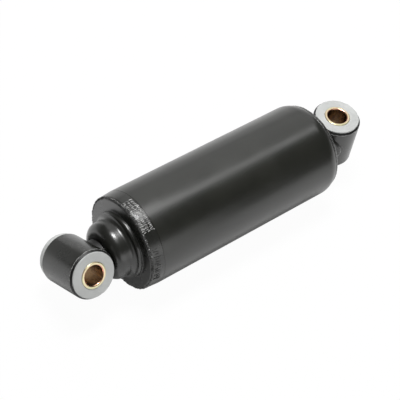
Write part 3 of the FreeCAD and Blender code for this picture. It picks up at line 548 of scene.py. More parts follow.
class Workshop:
    """Makes each finish once and puts pieces into the scene."""

    def __init__(self) -> None:
        """Build the shared effects."""
        self.effects = Effects()
        self.made: dict[Finish | PlatedZinc, bpy.types.Material] = {}

    def material(self, finish: Finish | PlatedZinc) -> bpy.types.Material:
        """Give a finish's material, made at its first use.

        Args:
            finish: The finish.

        Returns:
            Its material.
        """
        if finish not in self.made:
            self.made[finish] = finish.material(self.effects)
        return self.made[finish]

    def add_piece(self, name: str, mesh_maker: bmesh.types.BMesh, body: Body, slot: Slot,
                  stands_for: str | None = None, crease: float = FORMED_CREASE,
                  finish: Finish | None = None) -> bpy.types.Object:
        """Turn a finished bmesh into a piece of the object.

        Args:
            name: The piece's name.
            mesh_maker: The finished bmesh, freed here.
            body: The CAD body it rides on.
            slot: The material slot that it takes its finish from.
            stands_for: The CAD node that it replaces.
            crease: Angle, in degrees, past which an edge is sharp.
            finish: A finish of its own, in place of the slot's usual one.

        Returns:
            The new object.
        """
        bmesh.ops.remove_doubles(mesh_maker, verts=mesh_maker.verts, dist=MERGE_DISTANCE)
        bmesh.ops.recalc_face_normals(mesh_maker, faces=mesh_maker.faces)
        mesh = bpy.data.meshes.new(name)
        mesh_maker.to_mesh(mesh)
        mesh_maker.free()
        mesh.polygons.foreach_set("use_smooth", [True] * len(mesh.polygons))
        mesh.set_sharp_from_angle(angle=math.radians(crease))
        piece = bpy.data.objects.new(name, mesh)
        bpy.context.scene.collection.objects.link(piece)
        mesh.materials.append(self.material(finish or FINISHES[slot]))
        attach(piece, body.value)
        if stands_for:
            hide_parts(stands_for)
        LOG.info("%s: %d faces on %s", name, len(mesh.polygons), body.value)
        return piece

    def dress_nodes(self) -> None:
        """Give every CAD node the material of its slot."""
        slots = {row["node"]: Slot(row["material_slot"]) for row in frame["record"]["subparts"]}
        for node, item in frame["nodes"].items():
            finish = FINISHES[slots[node]]
            # Painted welds get the dull paint, whose darker colour is painted shade in the creases they fill;
            # the other painted nodes get the glossy paint.
            if slots[node] is Slot.PAINT:
                finish = DULL_SHADED_PAINT if "weld" in node else GLOSSY_PAINT
            item.data.materials.clear()
            item.data.materials.append(self.material(finish))


def rounded_outline(corners: Sequence[Corner], closed: bool,
                    step_degrees: float = ARC_STEP) -> list[tuple[float, float]]:
    """Turn corners into points, with an arc at each rounded corner.

    Args:
        corners: The outline's corners in order.
        closed: Whether the last corner joins the first.
        step_degrees: Largest turn between two points of an arc.

    Returns:
        Points as distance along and distance out.
    """
    straight = 1e-4
    side_share = 0.98
    points: list[tuple[float, float]] = []
    count = len(corners)
    for index, corner in enumerate(corners):
        here = Vector((corner.along, corner.out))
        is_end = not closed and index in (0, count - 1)
        if corner.rounding <= 0 or is_end:
            points.append(tuple(here))
            continue
        before = Vector(corners[index - 1][:2]) - here
        after = Vector(corners[(index + 1) % count][:2]) - here
        turn = math.pi - before.angle(after)
        if turn < straight:
            points.append(tuple(here))
            continue
        room = min(before.length, after.length) * side_share
        setback = min(corner.rounding * math.tan(turn / 2), room)
        radius = setback / math.tan(turn / 2)
        start = here + before.normalized() * setback
        end = here + after.normalized() * setback
        inward = (before.normalized() + after.normalized()).normalized()
        centre = here + inward * (radius / math.cos(turn / 2))
        first = start - centre
        sign = 1 if first.x * (end - centre).y - first.y * (end - centre).x > 0 else -1
        steps = max(2, math.ceil(math.degrees(turn) / step_degrees))
        for step in range(steps + 1):
            angle = sign * turn * step / steps
            spun = Vector((first.x * math.cos(angle) - first.y * math.sin(angle),
                           first.x * math.sin(angle) + first.y * math.cos(angle)))
            points.append(tuple(centre + spun))
    return points


def turned(corners: Sequence[Corner], axis: Axis, steps: int, closed: bool = True,
           step_degrees: float = ARC_STEP) -> bmesh.types.BMesh:
    """Spin an outline round an axis through the origin.

    Args:
        corners: The outline, in metres.
        axis: The line to spin round.
        steps: Faces round the full turn.
        closed: Whether the outline closes on itself.
        step_degrees: Largest turn between two points of a rounding.

    Returns:
        A bmesh of the turned shape.
    """
    mesh_maker = bmesh.new()
    is_damper = axis is Axis.DAMPER
    verts = [
        mesh_maker.verts.new((along, out, 0.0) if is_damper else (out, 0.0, along))
        for along, out in rounded_outline(corners, closed, step_degrees)
    ]
    pairs = zip(verts, verts[1:] + ([verts[0]] if closed else []))
    edges = [mesh_maker.edges.new(pair) for pair in pairs]
    bmesh.ops.spin(
        mesh_maker, geom=verts + edges, cent=(0, 0, 0), axis=(1, 0, 0) if is_damper else (0, 0, 1),
        angle=math.tau, steps=steps, use_merge=True)
    bmesh.ops.remove_doubles(mesh_maker, verts=mesh_maker.verts, dist=MERGE_DISTANCE)
    return mesh_maker


@dataclass(frozen=True)
class Ripple:
    """The even waves along a weld or a crimp.

    Attributes:
        height: Height of a wave.
        count: Waves in one turn round the damper.
        lean: How far a wave leans across the bead, in radians per millimetre.
    """

    height: float
    count: int
    lean: float

    def swell(self, point: Vector, across: float) -> float:
        """Give the height of the waves at a point.

        Args:
            point: The point.
            across: How far it lies across the bead.

        Returns:
            The height, in metres.
        """
        around = math.atan2(point.z, point.y)
        return self.height * math.cos(around * self.count + across / MM * self.lean)


@dataclass
class OuterTube:
    """The painted reservoir tube, drawn in at the base and narrowed under the cap's skirt.

    Attributes:
        draw_length: Length of the drawn-in curve.
        draw_depth: How far the base end is drawn in.
        draw_round: Radius of the drawn-in curve.
        wall: Wall thickness.
        joggle: Length of the step under the skirt.
        neck_drop: How much smaller the narrowed end is, in radius.
        seam: Open seam between the shoulder and the skirt.
        shoulder_round: Rounding of the shoulder at the seam.
        bend_round: Rounding of the drawn-in lip and of the step's foot.
        end_round: Rounding of the narrowed end.
    """

    draw_length: float = 5.0 * MM
    draw_depth: float = 1.4 * MM
    draw_round: float = 10.0 * MM
    wall: float = 1.75 * MM
    joggle: float = 1.2 * MM
    neck_drop: float = 1.55 * MM
    seam: float = 0.16 * MM
    shoulder_round: float = 0.12 * MM
    bend_round: float = 0.3 * MM
    end_round: float = 0.2 * MM

    def build(self, shop: Workshop) -> None:
        """Make the tube's shell.

        Args:
            shop: Where the piece is finished.
        """
        low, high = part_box("outer_tube")
        radius = high.z
        neck = radius - self.neck_drop
        shoulder_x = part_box("stepped_end_cap")[0].x - self.seam
        neck_x = shoulder_x + self.joggle
        corners = [
            Corner(low.x, radius - self.draw_depth - self.wall),
            Corner(low.x, radius - self.draw_depth, self.bend_round),
            Corner(low.x + self.draw_length / 2, radius, self.draw_round),
            Corner(shoulder_x, radius, self.shoulder_round),
            Corner(neck_x, neck, self.bend_round),
            Corner(high.x, neck, self.end_round),
            Corner(high.x, neck - self.wall, self.end_round),
            Corner(neck_x, neck - self.wall),
            Corner(shoulder_x, radius - self.wall),
            Corner(low.x + self.draw_length, radius - self.wall),
        ]
        shell = turned(corners, Axis.DAMPER, steps=256)
        shop.add_piece("painted_outer_tube", shell, Body.DAMPER, Slot.PAINT, "outer_tube")


@dataclass
class EndCap:
    """The pressed cap at the rod end: skirt, rounded rim, flat face, step and dome.

    Attributes:
        skirt_tip: Flat on the tip of the skirt.
        tip_round: Rounding inside that tip.
        skirt_round: Rounding outside it.
        tip_bevel: Length of the bevel inside the skirt.
        rim_length: Length of the rounded rim.
        rim_middle: Place of the rim's bend, as a share of its length.
        rim_sag: How far the skirt has come in at that bend.
        rim_round: Rounding of that bend.
        rim_drop: How far the rounded rim comes in.
        rim_edge: Rounding where the rim meets the flat face.
        dome_height: Flat face to the top of the dome.
        dome_radius: Radius of the dome.
        dome_round: Rounding of the dome's edge.
        dome_fillet: Hollow rounding between the step and the dome.
        foot_width: How far the step at the dome's foot stands out.
        foot_height: Height of that step.
        foot_taper: How far the step's side leans in.
        foot_round: Rounding on the step's edge.
        foot_crease: Hollow rounding between the flat face and the step.
        hole_radius: Radius of the rod hole.
        hole_round: Rounding of its edge.
        skirt_wall: Wall of the skirt.
        face_wall: Thickness of the face and dome.
        inner_round: Rounding in the corner inside the rim.
    """

    skirt_tip: float = 0.3 * MM
    tip_round: float = 0.05 * MM
    skirt_round: float = 0.12 * MM
    tip_bevel: float = 1.2 * MM
    rim_length: float = 2.6 * MM
    rim_middle: float = 0.45
    rim_sag: float = 0.12 * MM
    rim_round: float = 1.9 * MM
    rim_drop: float = 1.42 * MM
    rim_edge: float = 0.35 * MM
    dome_height: float = 12.55 * MM
    dome_radius: float = 14.9 * MM
    dome_round: float = 5.5 * MM
    dome_fillet: float = 2.4 * MM
    foot_width: float = 2.6 * MM
    foot_height: float = 2.6 * MM
    foot_taper: float = 0.2 * MM
    foot_round: float = 2.1 * MM
    foot_crease: float = 0.3 * MM
    hole_radius: float = 6.4 * MM
    hole_round: float = 0.4 * MM
    skirt_wall: float = 1.5 * MM
    face_wall: float = 2.0 * MM
    inner_round: float = 1.8 * MM

    def build(self, shop: Workshop) -> None:
        """Make the cap's shell, the crimped rim and the marks on the skirt.

        Args:
            shop: Where the pieces are finished.
        """
        low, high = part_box("stepped_end_cap")
        face_x = high.x - self.dome_height
        step_x = face_x + self.foot_height
        rim = high.z - SKIRT_TAPER
        foot = self.dome_radius + self.foot_width
        dome_bore = self.dome_radius - self.face_wall
        bore = high.z - self.skirt_wall
        corners = [
            Corner(low.x, high.z - self.skirt_tip, self.tip_round),
            Corner(low.x, high.z, self.skirt_round),
            Corner(face_x - self.rim_length * self.rim_middle, rim - self.rim_sag, self.rim_round),
            Corner(face_x, rim - self.rim_drop, self.rim_edge),
            Corner(face_x, foot, self.foot_crease),
            Corner(step_x, foot - self.foot_taper, self.foot_round),
            Corner(step_x, self.dome_radius, self.dome_fillet),
            Corner(high.x, self.dome_radius, self.dome_round),
            Corner(high.x, self.hole_radius, self.hole_round),
            Corner(high.x - self.face_wall, self.hole_radius),
            Corner(high.x - self.face_wall, dome_bore, self.dome_round - self.face_wall),
            Corner(step_x - self.face_wall, dome_bore),
            Corner(step_x - self.face_wall, foot - self.face_wall),
            Corner(face_x - self.face_wall, foot - self.face_wall),
            Corner(face_x - self.face_wall, bore, self.inner_round),
            Corner(low.x + self.tip_bevel, bore),
        ]
        shell = turned(corners, Axis.DAMPER, steps=224)
        shop.add_piece(
            "pressed_end_cap", shell, Body.DAMPER, Slot.PAINT, "stepped_end_cap", finish=GLOSSY_PAINT)
        RimBead().build(shop, face_x, rim - self.rim_drop)
        # The first band's pale ticks are painted highlight, the glint of the key light on the stamped
        # marking; the second band's ticks keep the glossy paint.
        for band in (
            TickBand(
                "marking_band_painted_highlight", start=132.9 * MM, end=139.3 * MM, first=57.0, last=102.0,
                columns=22, rows=3, finish=PAINTED_HIGHLIGHT_PAINT, height=0.2 * MM),
            TickBand(
                "faint_marking_band", start=134.2 * MM, end=138.6 * MM, first=-8.0, last=38.0,
                columns=15, rows=1, finish=GLOSSY_PAINT, height=0.12 * MM),
        ):
            band.build(shop, high.z)


@dataclass
class RimBead:
    """The grainy bead that the crimping leaves round the cap's rim.

    Attributes:
        inset: How far its middle lies behind the flat face.
        stand: How far its middle lies outside the rim's edge.
        section: Radius of the bead itself.
        fill: Share of that radius that the plain bead takes.
        softness: Rounding of the plain bead, as a share of its reach.
        lump: Height of its grains.
        grains: Grains per metre.
        teeth: The even teeth of the crimp.
    """

    inset: float = 0.9 * MM
    stand: float = 0.55 * MM
    section: float = 0.9 * MM
    fill: float = 0.7
    softness: float = 0.9
    lump: float = 0.32 * MM
    grains: float = 1100.0
    teeth: Ripple = Ripple(height=0.16 * MM, count=156, lean=-1.0)

    def build(self, shop: Workshop, face_x: float, edge: float) -> None:
        """Make the bead.

        Args:
            shop: Where the piece is finished.
            face_x: Place of the cap's flat face.
            edge: Radius of the rim where it meets that face.
        """
        along = face_x - self.inset
        ring_radius = edge + self.stand
        reach = self.section * self.fill
        corners = [
            Corner(along + x * reach, ring_radius + y * reach, reach * self.softness)
            for x, y in ((-1, -1), (-1, 1), (1, 1), (1, -1))
        ]
        mesh_maker = turned(corners, Axis.DAMPER, steps=800, step_degrees=24.0)
        for vert in mesh_maker.verts:
            radius = math.hypot(vert.co.y, vert.co.z)
            out = Vector((vert.co.x - along, 0.0, 0.0))
            out += Vector((0.0, vert.co.y, vert.co.z)).normalized() * (radius - ring_radius)
            swell = self.lump * noise.noise(vert.co * self.grains) + self.teeth.swell(vert.co, out.x)
            vert.co += out.normalized() * swell
        shop.add_piece(
            "crimped_rim_bead", mesh_maker, Body.DAMPER, Slot.PAINT, crease=WELD_CREASE, finish=GRAINY_PAINT)


@dataclass
class TickBand:
    """Plain raised ticks on part of the skirt, where the real cap carries its marking.

    Attributes:
        name: The piece's name.
        start: Where the band starts along the damper.
        end: Where it ends.
        first: Angle from +Y, in degrees, where it starts round the skirt.
        last: Angle where it ends.
        columns: Ticks round the band, also the seed of its random numbers.
        rows: Ticks one behind the other along the damper.
        finish: Finish of the ticks.
        height: How far a tick stands out.
        edge: Bevel on the edges of a tick.
    """

    name: str
    start: float
    end: float
    first: float
    last: float
    columns: int
    rows: int
    finish: Finish
    height: float
    edge: float = 0.09 * MM

    def build(self, shop: Workshop, radius: float) -> None:
        """Make the ticks.

        Args:
            shop: Where the piece is finished.
            radius: Radius of the skirt at its open end.
        """
        dice = random.Random(self.columns)
        mesh_maker = bmesh.new()
        length = self.end - self.start
        pitch = length / self.rows
        for column in range(self.columns):
            share = (column + dice.uniform(0.3, 0.7)) / self.columns
            turn = math.radians(self.first + (self.last - self.first) * share - 90.0)
            for row in range(self.rows):
                along = self.start + pitch * (row + dice.uniform(0.36, 0.64))
                under = radius - SKIRT_TAPER * (along - self.start) / length
                lean = dice.uniform(-0.3, 0.3)
                size = (pitch * dice.uniform(0.45, 0.95), dice.uniform(0.3, 0.56) * MM, self.height * 2, 1.0)
                place = (
                    Matrix.Rotation(turn, 4, "X")
                    @ Matrix.Translation((along, 0.0, under))
                    @ Matrix.Rotation(lean, 4, "Z")
                    @ Matrix.Diagonal(size)
                )
                made = bmesh.ops.create_cube(mesh_maker, size=1.0, matrix=place)
                edges = {edge for vert in made["verts"] for edge in vert.link_edges}
                bmesh.ops.bevel(
                    mesh_maker, geom=list(edges), offset=self.edge, segments=2, profile=0.5,
                    affect="EDGES", material=-1)
        shop.add_piece(self.name, mesh_maker, Body.DAMPER, Slot.PAINT, finish=self.finish)


@dataclass
class BaseEnd:
    """The pressed base cap with its seam weld, and the welds at both ends of the neck.

    Attributes:
        corner: Rounding round the flat face.
        lip_inset: How far the cap's lip lies inside the outer tube's radius.
        setback: Flat face to the end of the outer tube.
        cone: Length of the cone behind the tube's lip.
        floor: Thickness of the cap's floor.
        skirt: Wall of the cap's skirt.
        skirt_round: Rounding of the skirt's end.
        inner_corner: Bevel in the corner inside the cap.
        neck_radius: Radius of the neck.
    """

    corner: float = 1.5 * MM
    lip_inset: float = 3.15 * MM
    setback: float = 3.5 * MM
    cone: float = 6.6 * MM
    floor: float = 2.5 * MM
    skirt: float = 2.0 * MM
    skirt_round: float = 0.3 * MM
    inner_corner: float = 2.0 * MM
    neck_radius: float = 9.5 * MM

    def build(self, shop: Workshop) -> None:
        """Make the cap and the welds.

        Args:
            shop: Where the pieces are finished.
        """
        low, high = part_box("base_cap")
        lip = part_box("outer_tube")[1].z - self.lip_inset
        floor_x = low.x + self.floor
        tube_x = low.x + self.setback
        cone_x = tube_x + self.cone
        corners = [
            Corner(low.x, 0.0),
            Corner(low.x, lip, self.corner),
            Corner(tube_x, lip),
            Corner(cone_x, high.z),
            Corner(high.x, high.z, self.skirt_round),
            Corner(high.x, high.z - self.skirt, self.skirt_round),
            Corner(cone_x, high.z - self.skirt),
            Corner(floor_x + self.inner_corner, lip - self.skirt),
            Corner(floor_x, lip - self.skirt - self.inner_corner),
            Corner(floor_x, 0.0),
        ]
        shell = turned(corners, Axis.DAMPER, steps=192, closed=False)
        shop.add_piece("pressed_base_cap", shell, Body.DAMPER, Slot.PAINT, "base_cap", finish=GLOSSY_PAINT)
        SeamWeld().build(shop, lip)
        NeckFootWeld().build(shop, low.x, self.neck_radius)
        EyeWeld().build(shop, self.neck_radius)


@dataclass
class SeamWeld:
    """The rippled, grainy weld between the base cap's lip and the tube.

    Attributes:
        edge_round: Rounding of the weld's edges.
        crown_setback: Place of the crown behind the weld's front.
        crown_drop: How far the crown lies inside the weld's outer edge.
        crown_round: Rounding of the crown.
        root: Width that stays plain where the weld meets the metal.
        ripple: The welder's waves.
        grain: Height of the grain.
        grains: Grains per metre.
    """

    edge_round: float = 0.2 * MM
    crown_setback: float = 0.5 * MM
    crown_drop: float = 0.35 * MM
    crown_round: float = 1.0 * MM
    root: float = 0.1 * MM
    ripple: Ripple = Ripple(height=0.09 * MM, count=72, lean=1.6)
    grain: float = 0.16 * MM
    grains: float = 600.0

    def build(self, shop: Workshop, lip: float) -> None:
        """Make the weld.

        Args:
            shop: Where the piece is finished.
            lip: Radius of the cap's lip.
        """
        low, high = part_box("base_cap_weld")
        corners = [
            Corner(high.x, lip),
            Corner(low.x, lip, self.edge_round),
            Corner(low.x + self.crown_setback, high.z - self.crown_drop, self.crown_round),
            Corner(high.x, high.z, self.edge_round),
        ]
        mesh_maker = turned(corners, Axis.DAMPER, steps=440)
        for vert in mesh_maker.verts:
            across = math.hypot(vert.co.y, vert.co.z) - lip
            if across > self.root and vert.co.x < high.x - self.root:
                swell = self.ripple.swell(vert.co, across)
                vert.co.x -= swell + self.grain * noise.noise(vert.co * self.grains)
        shop.add_piece(
            "rippled_seam_weld", mesh_maker, Body.DAMPER, Slot.PAINT, "base_cap_weld", WELD_CREASE,
            GRAINY_PAINT)


@dataclass
class NeckFootWeld:
    """The rippled hollow weld at the foot of the neck.

    Attributes:
        leg: Leg of the weld.
        hollow: Place of the hollow's middle, as a share of the leg.
        hollow_round: Radius of the hollow.
        edge_round: Rounding of the weld's edges.
        root: Width that stays plain where the weld meets the metal.
        ripple: The welder's waves.
    """

    leg: float = 1.8 * MM
    hollow: float = 0.32
    hollow_round: float = 1.3 * MM
    edge_round: float = 0.15 * MM
    root: float = 0.1 * MM
    ripple: Ripple = Ripple(height=0.05 * MM, count=40, lean=2.0)

    def build(self, shop: Workshop, face_x: float, neck_radius: float) -> None:
        """Make the weld.

        Args:
            shop: Where the piece is finished.
            face_x: Place of the base cap's flat face.
            neck_radius: Radius of the neck.
        """
        middle = self.leg * self.hollow
        corners = [
            Corner(face_x, neck_radius),
            Corner(face_x - self.leg, neck_radius, self.edge_round),
            Corner(face_x - middle, neck_radius + middle, self.hollow_round),
            Corner(face_x, neck_radius + self.leg, self.edge_round),
        ]
        mesh_maker = turned(corners, Axis.DAMPER, steps=360)
        for vert in mesh_maker.verts:
            radius = math.hypot(vert.co.y, vert.co.z)
            across = radius - neck_radius
            if across > self.root and vert.co.x < face_x - self.root:
                out = Vector((-1.0, vert.co.y / radius, vert.co.z / radius)).normalized()
                vert.co += out * self.ripple.swell(vert.co, across)
        shop.add_piece(
            "neck_foot_weld", mesh_maker, Body.DAMPER, Slot.PAINT, "base_stem_weld", WELD_CREASE,
            GLOSSY_PAINT)


@dataclass
class EyeWeld:
    """The weld where the neck runs into the eye's ring.

    Attributes:
        section: Radius of the bead.
        spread: How much wider than the neck the weld's line runs.
        rise: How much lower than the neck's top it runs.
        points: Points on its line.
        ripple: The welder's waves.
    """

    section: float = 2.1 * MM
    spread: float = 1.4 * MM
    rise: float = 0.2 * MM
    points: int = 160
    ripple: Ripple = Ripple(height=0.07 * MM, count=46, lean=1.0)

    def build(self, shop: Workshop, neck_radius: float) -> None:
        """Make the weld.

        Args:
            shop: Where the piece is finished.
            neck_radius: Radius of the neck.
        """
        mesh_maker = self.bead(neck_radius)
        for vert in mesh_maker.verts:
            out = Vector((vert.co.x, vert.co.y, 0.0)).normalized()
            vert.co += out * self.ripple.swell(vert.co, vert.co.x)
        shop.add_piece(
            "neck_to_eye_weld", mesh_maker, Body.DAMPER, Slot.PAINT, crease=WELD_CREASE, finish=GLOSSY_PAINT)

    def bead(self, neck_radius: float) -> bmesh.types.BMesh:
        """Run a plain bead along the line where neck and ring meet.

        Args:
            neck_radius: Radius of the neck.

        Returns:
            A bmesh of the bead.
        """
        path = bpy.data.curves.new("eye_weld_line", "CURVE")
        path.dimensions = "3D"
        path.bevel_depth = self.section
        path.bevel_resolution = 4
        spline = path.splines.new("POLY")
        spline.points.add(self.points - 1)
        spline.use_cyclic_u = True
        for index, point in enumerate(spline.points):
            angle = math.tau * index / self.points
            side = (neck_radius + self.spread) * math.cos(angle)
            forward = math.sqrt(EYE_RING_RADIUS ** 2 - side ** 2)
            point.co = (forward, side, (neck_radius - self.rise) * math.sin(angle), 1.0)
        holder = bpy.data.objects.new("eye_weld_line", path)
        mesh_maker = bmesh.new()
        mesh_maker.from_mesh(holder.to_mesh())
        holder.to_mesh_clear()
        bpy.data.objects.remove(holder)
        bpy.data.curves.remove(path)
        return mesh_maker


@dataclass
class Eye:
    """One eye: its ring, two flanged bushes and the bolt sleeve.

    Attributes:
        end: The end's name, as its CAD nodes start.
        body: The body that ring and bushes ride on.
        sleeve_body: The body of the sleeve.
        place: Where the eye stands.
        bushes: Ending of the node name of the bush on the +Z side, then the other.
        half_width: Half the width of the ring.
        ring_wall: Wall of the ring.
        ring_chamfer: Chamfer on the ring's edges.
        chamfer_round: Rounding outside that chamfer.
        face_round: Rounding between that chamfer and the ring's face.
        recess: Depth of the recess that the flange sits in.
        recess_round: Rounding of the recess's edge.
        flange_inset: How far the flange's rim lies inside the ring's outside.
        side_gap: Clearance of the flange in its recess.
        flange_stands: How far the flange stands out of the ring on the +Z side, then on the other.
        flange_round: Rounding of the flange's rim.
        bush_edge: Rounding at the flange's mouth.
        barrel_edge: Rounding at the other end of the bush.
        barrel_start: Middle of the eye to the end of a bush's barrel.
        barrel_gap: Clearance of the barrel in the ring.
        sleeve_gap: Clearance of the sleeve in the bush.
        sleeve_radius: Outer radius of the sleeve.
        sleeve_bore: Radius of the bolt bore.
        sleeve_lip: Rounding at the mouth of the bore.
        sleeve_edge: Rounding outside the sleeve's ends.
        sleeve_stand: How far the sleeve stands out of the flanges.
    """

    end: str
    body: Body
    sleeve_body: Body
    place: Matrix
    bushes: tuple[str, str]
    half_width: float = 12.8 * MM
    ring_wall: float = 3.5 * MM
    ring_chamfer: float = 1.0 * MM
    chamfer_round: float = 0.5 * MM
    face_round: float = 0.12 * MM
    recess: float = 1.0 * MM
    recess_round: float = 0.05 * MM
    flange_inset: float = 0.95 * MM
    side_gap: float = 0.1 * MM
    flange_stands: tuple[float, float] = (0.65 * MM, 0.65 * MM)
    flange_round: float = 0.18 * MM
    bush_edge: float = 0.12 * MM
    barrel_edge: float = 0.1 * MM
    barrel_start: float = 0.6 * MM
    barrel_gap: float = 0.02 * MM
    sleeve_gap: float = 0.05 * MM
    sleeve_radius: float = 6.7 * MM
    sleeve_bore: float = 5.05 * MM
    sleeve_lip: float = 0.75 * MM
    sleeve_edge: float = 0.4 * MM
    sleeve_stand: float = 0.35 * MM

    def build(self, shop: Workshop) -> None:
        """Make ring, bushes and sleeve.

        Args:
            shop: Where the pieces are finished.
        """
        self.ring(shop)
        faces = [self.half_width + stand for stand in self.flange_stands]
        for side, face, ending in zip((1.0, -1.0), faces, self.bushes):
            self.bush(shop, side, face, ending)
        self.sleeve(shop, -faces[1] - self.sleeve_stand, faces[0] + self.sleeve_stand)

    def spin(self, corners: Sequence[Corner], steps: int) -> bmesh.types.BMesh:
        """Spin an outline round the eye's bore.

        Args:
            corners: The outline, in metres.
            steps: Faces round the full turn.

        Returns:
            A bmesh of the shape, where the eye stands.
        """
        mesh_maker = turned(corners, Axis.EYE, steps)
        bmesh.ops.transform(mesh_maker, matrix=self.place, verts=mesh_maker.verts)
        return mesh_maker

    def ring(self, shop: Workshop) -> None:
        """Make the welded ring, with painted shade (the dull, darker paint) on its chamfered ends and a thin
        painted highlight line at the chamfer's outer edge.

        Args:
            shop: Where the piece is finished.
        """
        end_shade, edge_highlight = 1, 2
        bore = EYE_RING_RADIUS - self.ring_wall
        recess_radius = EYE_RING_RADIUS - self.flange_inset + self.side_gap
        seat = self.half_width - self.recess
        edge = self.half_width - self.ring_chamfer
        upper = [
            Corner(seat, bore),
            Corner(seat, recess_radius),
            Corner(self.half_width, recess_radius, self.recess_round),
            Corner(self.half_width, EYE_RING_RADIUS - self.ring_chamfer, self.face_round),
            Corner(edge, EYE_RING_RADIUS, self.chamfer_round),
        ]
        lower = [Corner(-corner.along, corner.out, corner.rounding) for corner in reversed(upper)]
        piece = shop.add_piece(
            f"{self.end}_eye_shell", self.spin(upper + lower, steps=144), self.body, Slot.PAINT,
            f"{self.end}_eye_ring", finish=GLOSSY_PAINT)
        piece.data.materials.append(shop.material(DULL_SHADED_PAINT))
        piece.data.materials.append(shop.material(PAINTED_HIGHLIGHT_PAINT))
        end_shade_from = edge + 0.06 * MM
        edge_highlight_from = edge - 0.16 * MM
        inside = bore + 1.0 * MM
        back = self.place.inverted()
        # The chamfered ends get the dull paint as painted shade; a thin band where the chamfer meets the
        # outside gets the pale paint as a painted highlight line.
        for face in piece.data.polygons:
            centre = back @ face.center
            if abs(centre.z) > end_shade_from:
                face.material_index = end_shade
            elif abs(centre.z) > edge_highlight_from and math.hypot(centre.x, centre.y) > inside:
                face.material_index = edge_highlight

    def bush(self, shop: Workshop, side: float, face: float, ending: str) -> None:
        """Make one flanged bush.

        Args:
            shop: Where the piece is finished.
            side: 1 for the +Z side of the eye and -1 for the other.
            face: Middle of the eye to the outer face of the flange.
            ending: Ending of the CAD node's name.
        """
        barrel = EYE_RING_RADIUS - self.ring_wall - self.barrel_gap
        flange = EYE_RING_RADIUS - self.flange_inset
        seat = self.half_width - self.recess
        bore = self.sleeve_radius + self.sleeve_gap
        corners = [
            Corner(self.barrel_start * side, bore),
            Corner(self.barrel_start * side, barrel, self.barrel_edge),
            Corner(seat * side, barrel),
            Corner(seat * side, flange),
            Corner(face * side, flange, self.flange_round),
            Corner(face * side, bore, self.bush_edge),
        ]
        shop.add_piece(
            f"{self.end}_flanged_bush_{ending}", self.spin(corners, steps=128), self.body, Slot.NYLON,
            f"{self.end}_eye_bush_{ending}")

    def sleeve(self, shop: Workshop, low: float, high: float) -> None:
        """Make the bolt sleeve with its rounded ends, painted shade in the bore and a painted coppery
        highlight at its mouths.

        Args:
            shop: Where the piece is finished.
            low: Its lower end along the bore.
            high: Its upper end along the bore.
        """
        shaded, mouth_highlight = 1, 2
        corners = [
            Corner(low, self.sleeve_bore, self.sleeve_lip),
            Corner(low, self.sleeve_radius, self.sleeve_edge),
            Corner(high, self.sleeve_radius, self.sleeve_edge),
            Corner(high, self.sleeve_bore, self.sleeve_lip),
        ]
        piece = shop.add_piece(
            f"{self.end}_bolt_sleeve", self.spin(corners, steps=128), self.sleeve_body, Slot.ZINC,
            f"{self.end}_eye_sleeve")
        piece.data.materials.append(shop.material(SHADED_ZINC))
        piece.data.materials.append(shop.material(MOUTH_HIGHLIGHT_ZINC))
        mouth = self.sleeve_lip * 0.75
        wall = 0.03 * MM
        back = self.place.inverted()
        # The bore's wall gets the shaded zinc as painted shade, and the rounded mouths get the coppery zinc
        # as painted highlight.
        for face in piece.data.polygons:
            centre = back @ face.center
            depth = math.hypot(centre.x, centre.y) - self.sleeve_bore
            if depth < mouth:
                face.material_index = shaded if depth < wall else mouth_highlight


@dataclass
class Camera:
    """The photograph's viewpoint.

    Attributes:
        place: Where the camera stands.
        right: The image's rightward direction.
        up: The image's upward direction.
        lens: Focal length in millimetres.
        sensor: Width of the sensor in millimetres.
    """

    place: Vector = field(default_factory=lambda: Vector((0.4281, 0.2996, 0.5207)))
    right: Vector = field(default_factory=lambda: Vector((-0.7728, 0.6176, 0.1454)))
    up: Vector = field(default_factory=lambda: Vector((-0.4026, -0.6545, 0.6399)))
    lens: float = 124.1
    sensor: float = 36.0

    def build(self) -> None:
        """Create the camera and make it the scene's own."""
        data = bpy.data.cameras.new("photo_camera")
        data.lens = self.lens
        data.sensor_width = self.sensor
        data.clip_start = 0.01
        data.clip_end = 20.0
        item = bpy.data.objects.new("photo_camera", data)
        right = self.right.normalized()
        back = right.cross(self.up).normalized()
        up = back.cross(right)
        turn = Matrix((right, up, back)).transposed().to_4x4()
        item.matrix_world = Matrix.Translation(self.place) @ turn
        bpy.context.scene.collection.objects.link(item)
        bpy.context.scene.camera = item


@dataclass(frozen=True)
class SoftBox:
    """An area light aimed at a point.

    Attributes:
        name: The light's name.
        place: Where it stands.
        width: Its width.
        height: Its height.
        power: Its power in watts.
        aim: What it points at.
    """

    name: str
    place: tuple[float, float, float]
    width: float
    height: float
    power: float
    aim: tuple[float, float, float] = MIDDLE

    def build(self) -> None:
        """Create the light."""
        data = bpy.data.lights.new(self.name, "AREA")
        data.shape = "RECTANGLE"
        data.size = self.width
        data.size_y = self.height
        data.energy = self.power
        item = bpy.data.objects.new(self.name, data)
        way = Vector(self.aim) - Vector(self.place)
        turn = way.to_track_quat("-Z", "Y").to_matrix().to_4x4()
        item.matrix_world = Matrix.Translation(self.place) @ turn
        bpy.context.scene.collection.objects.link(item)


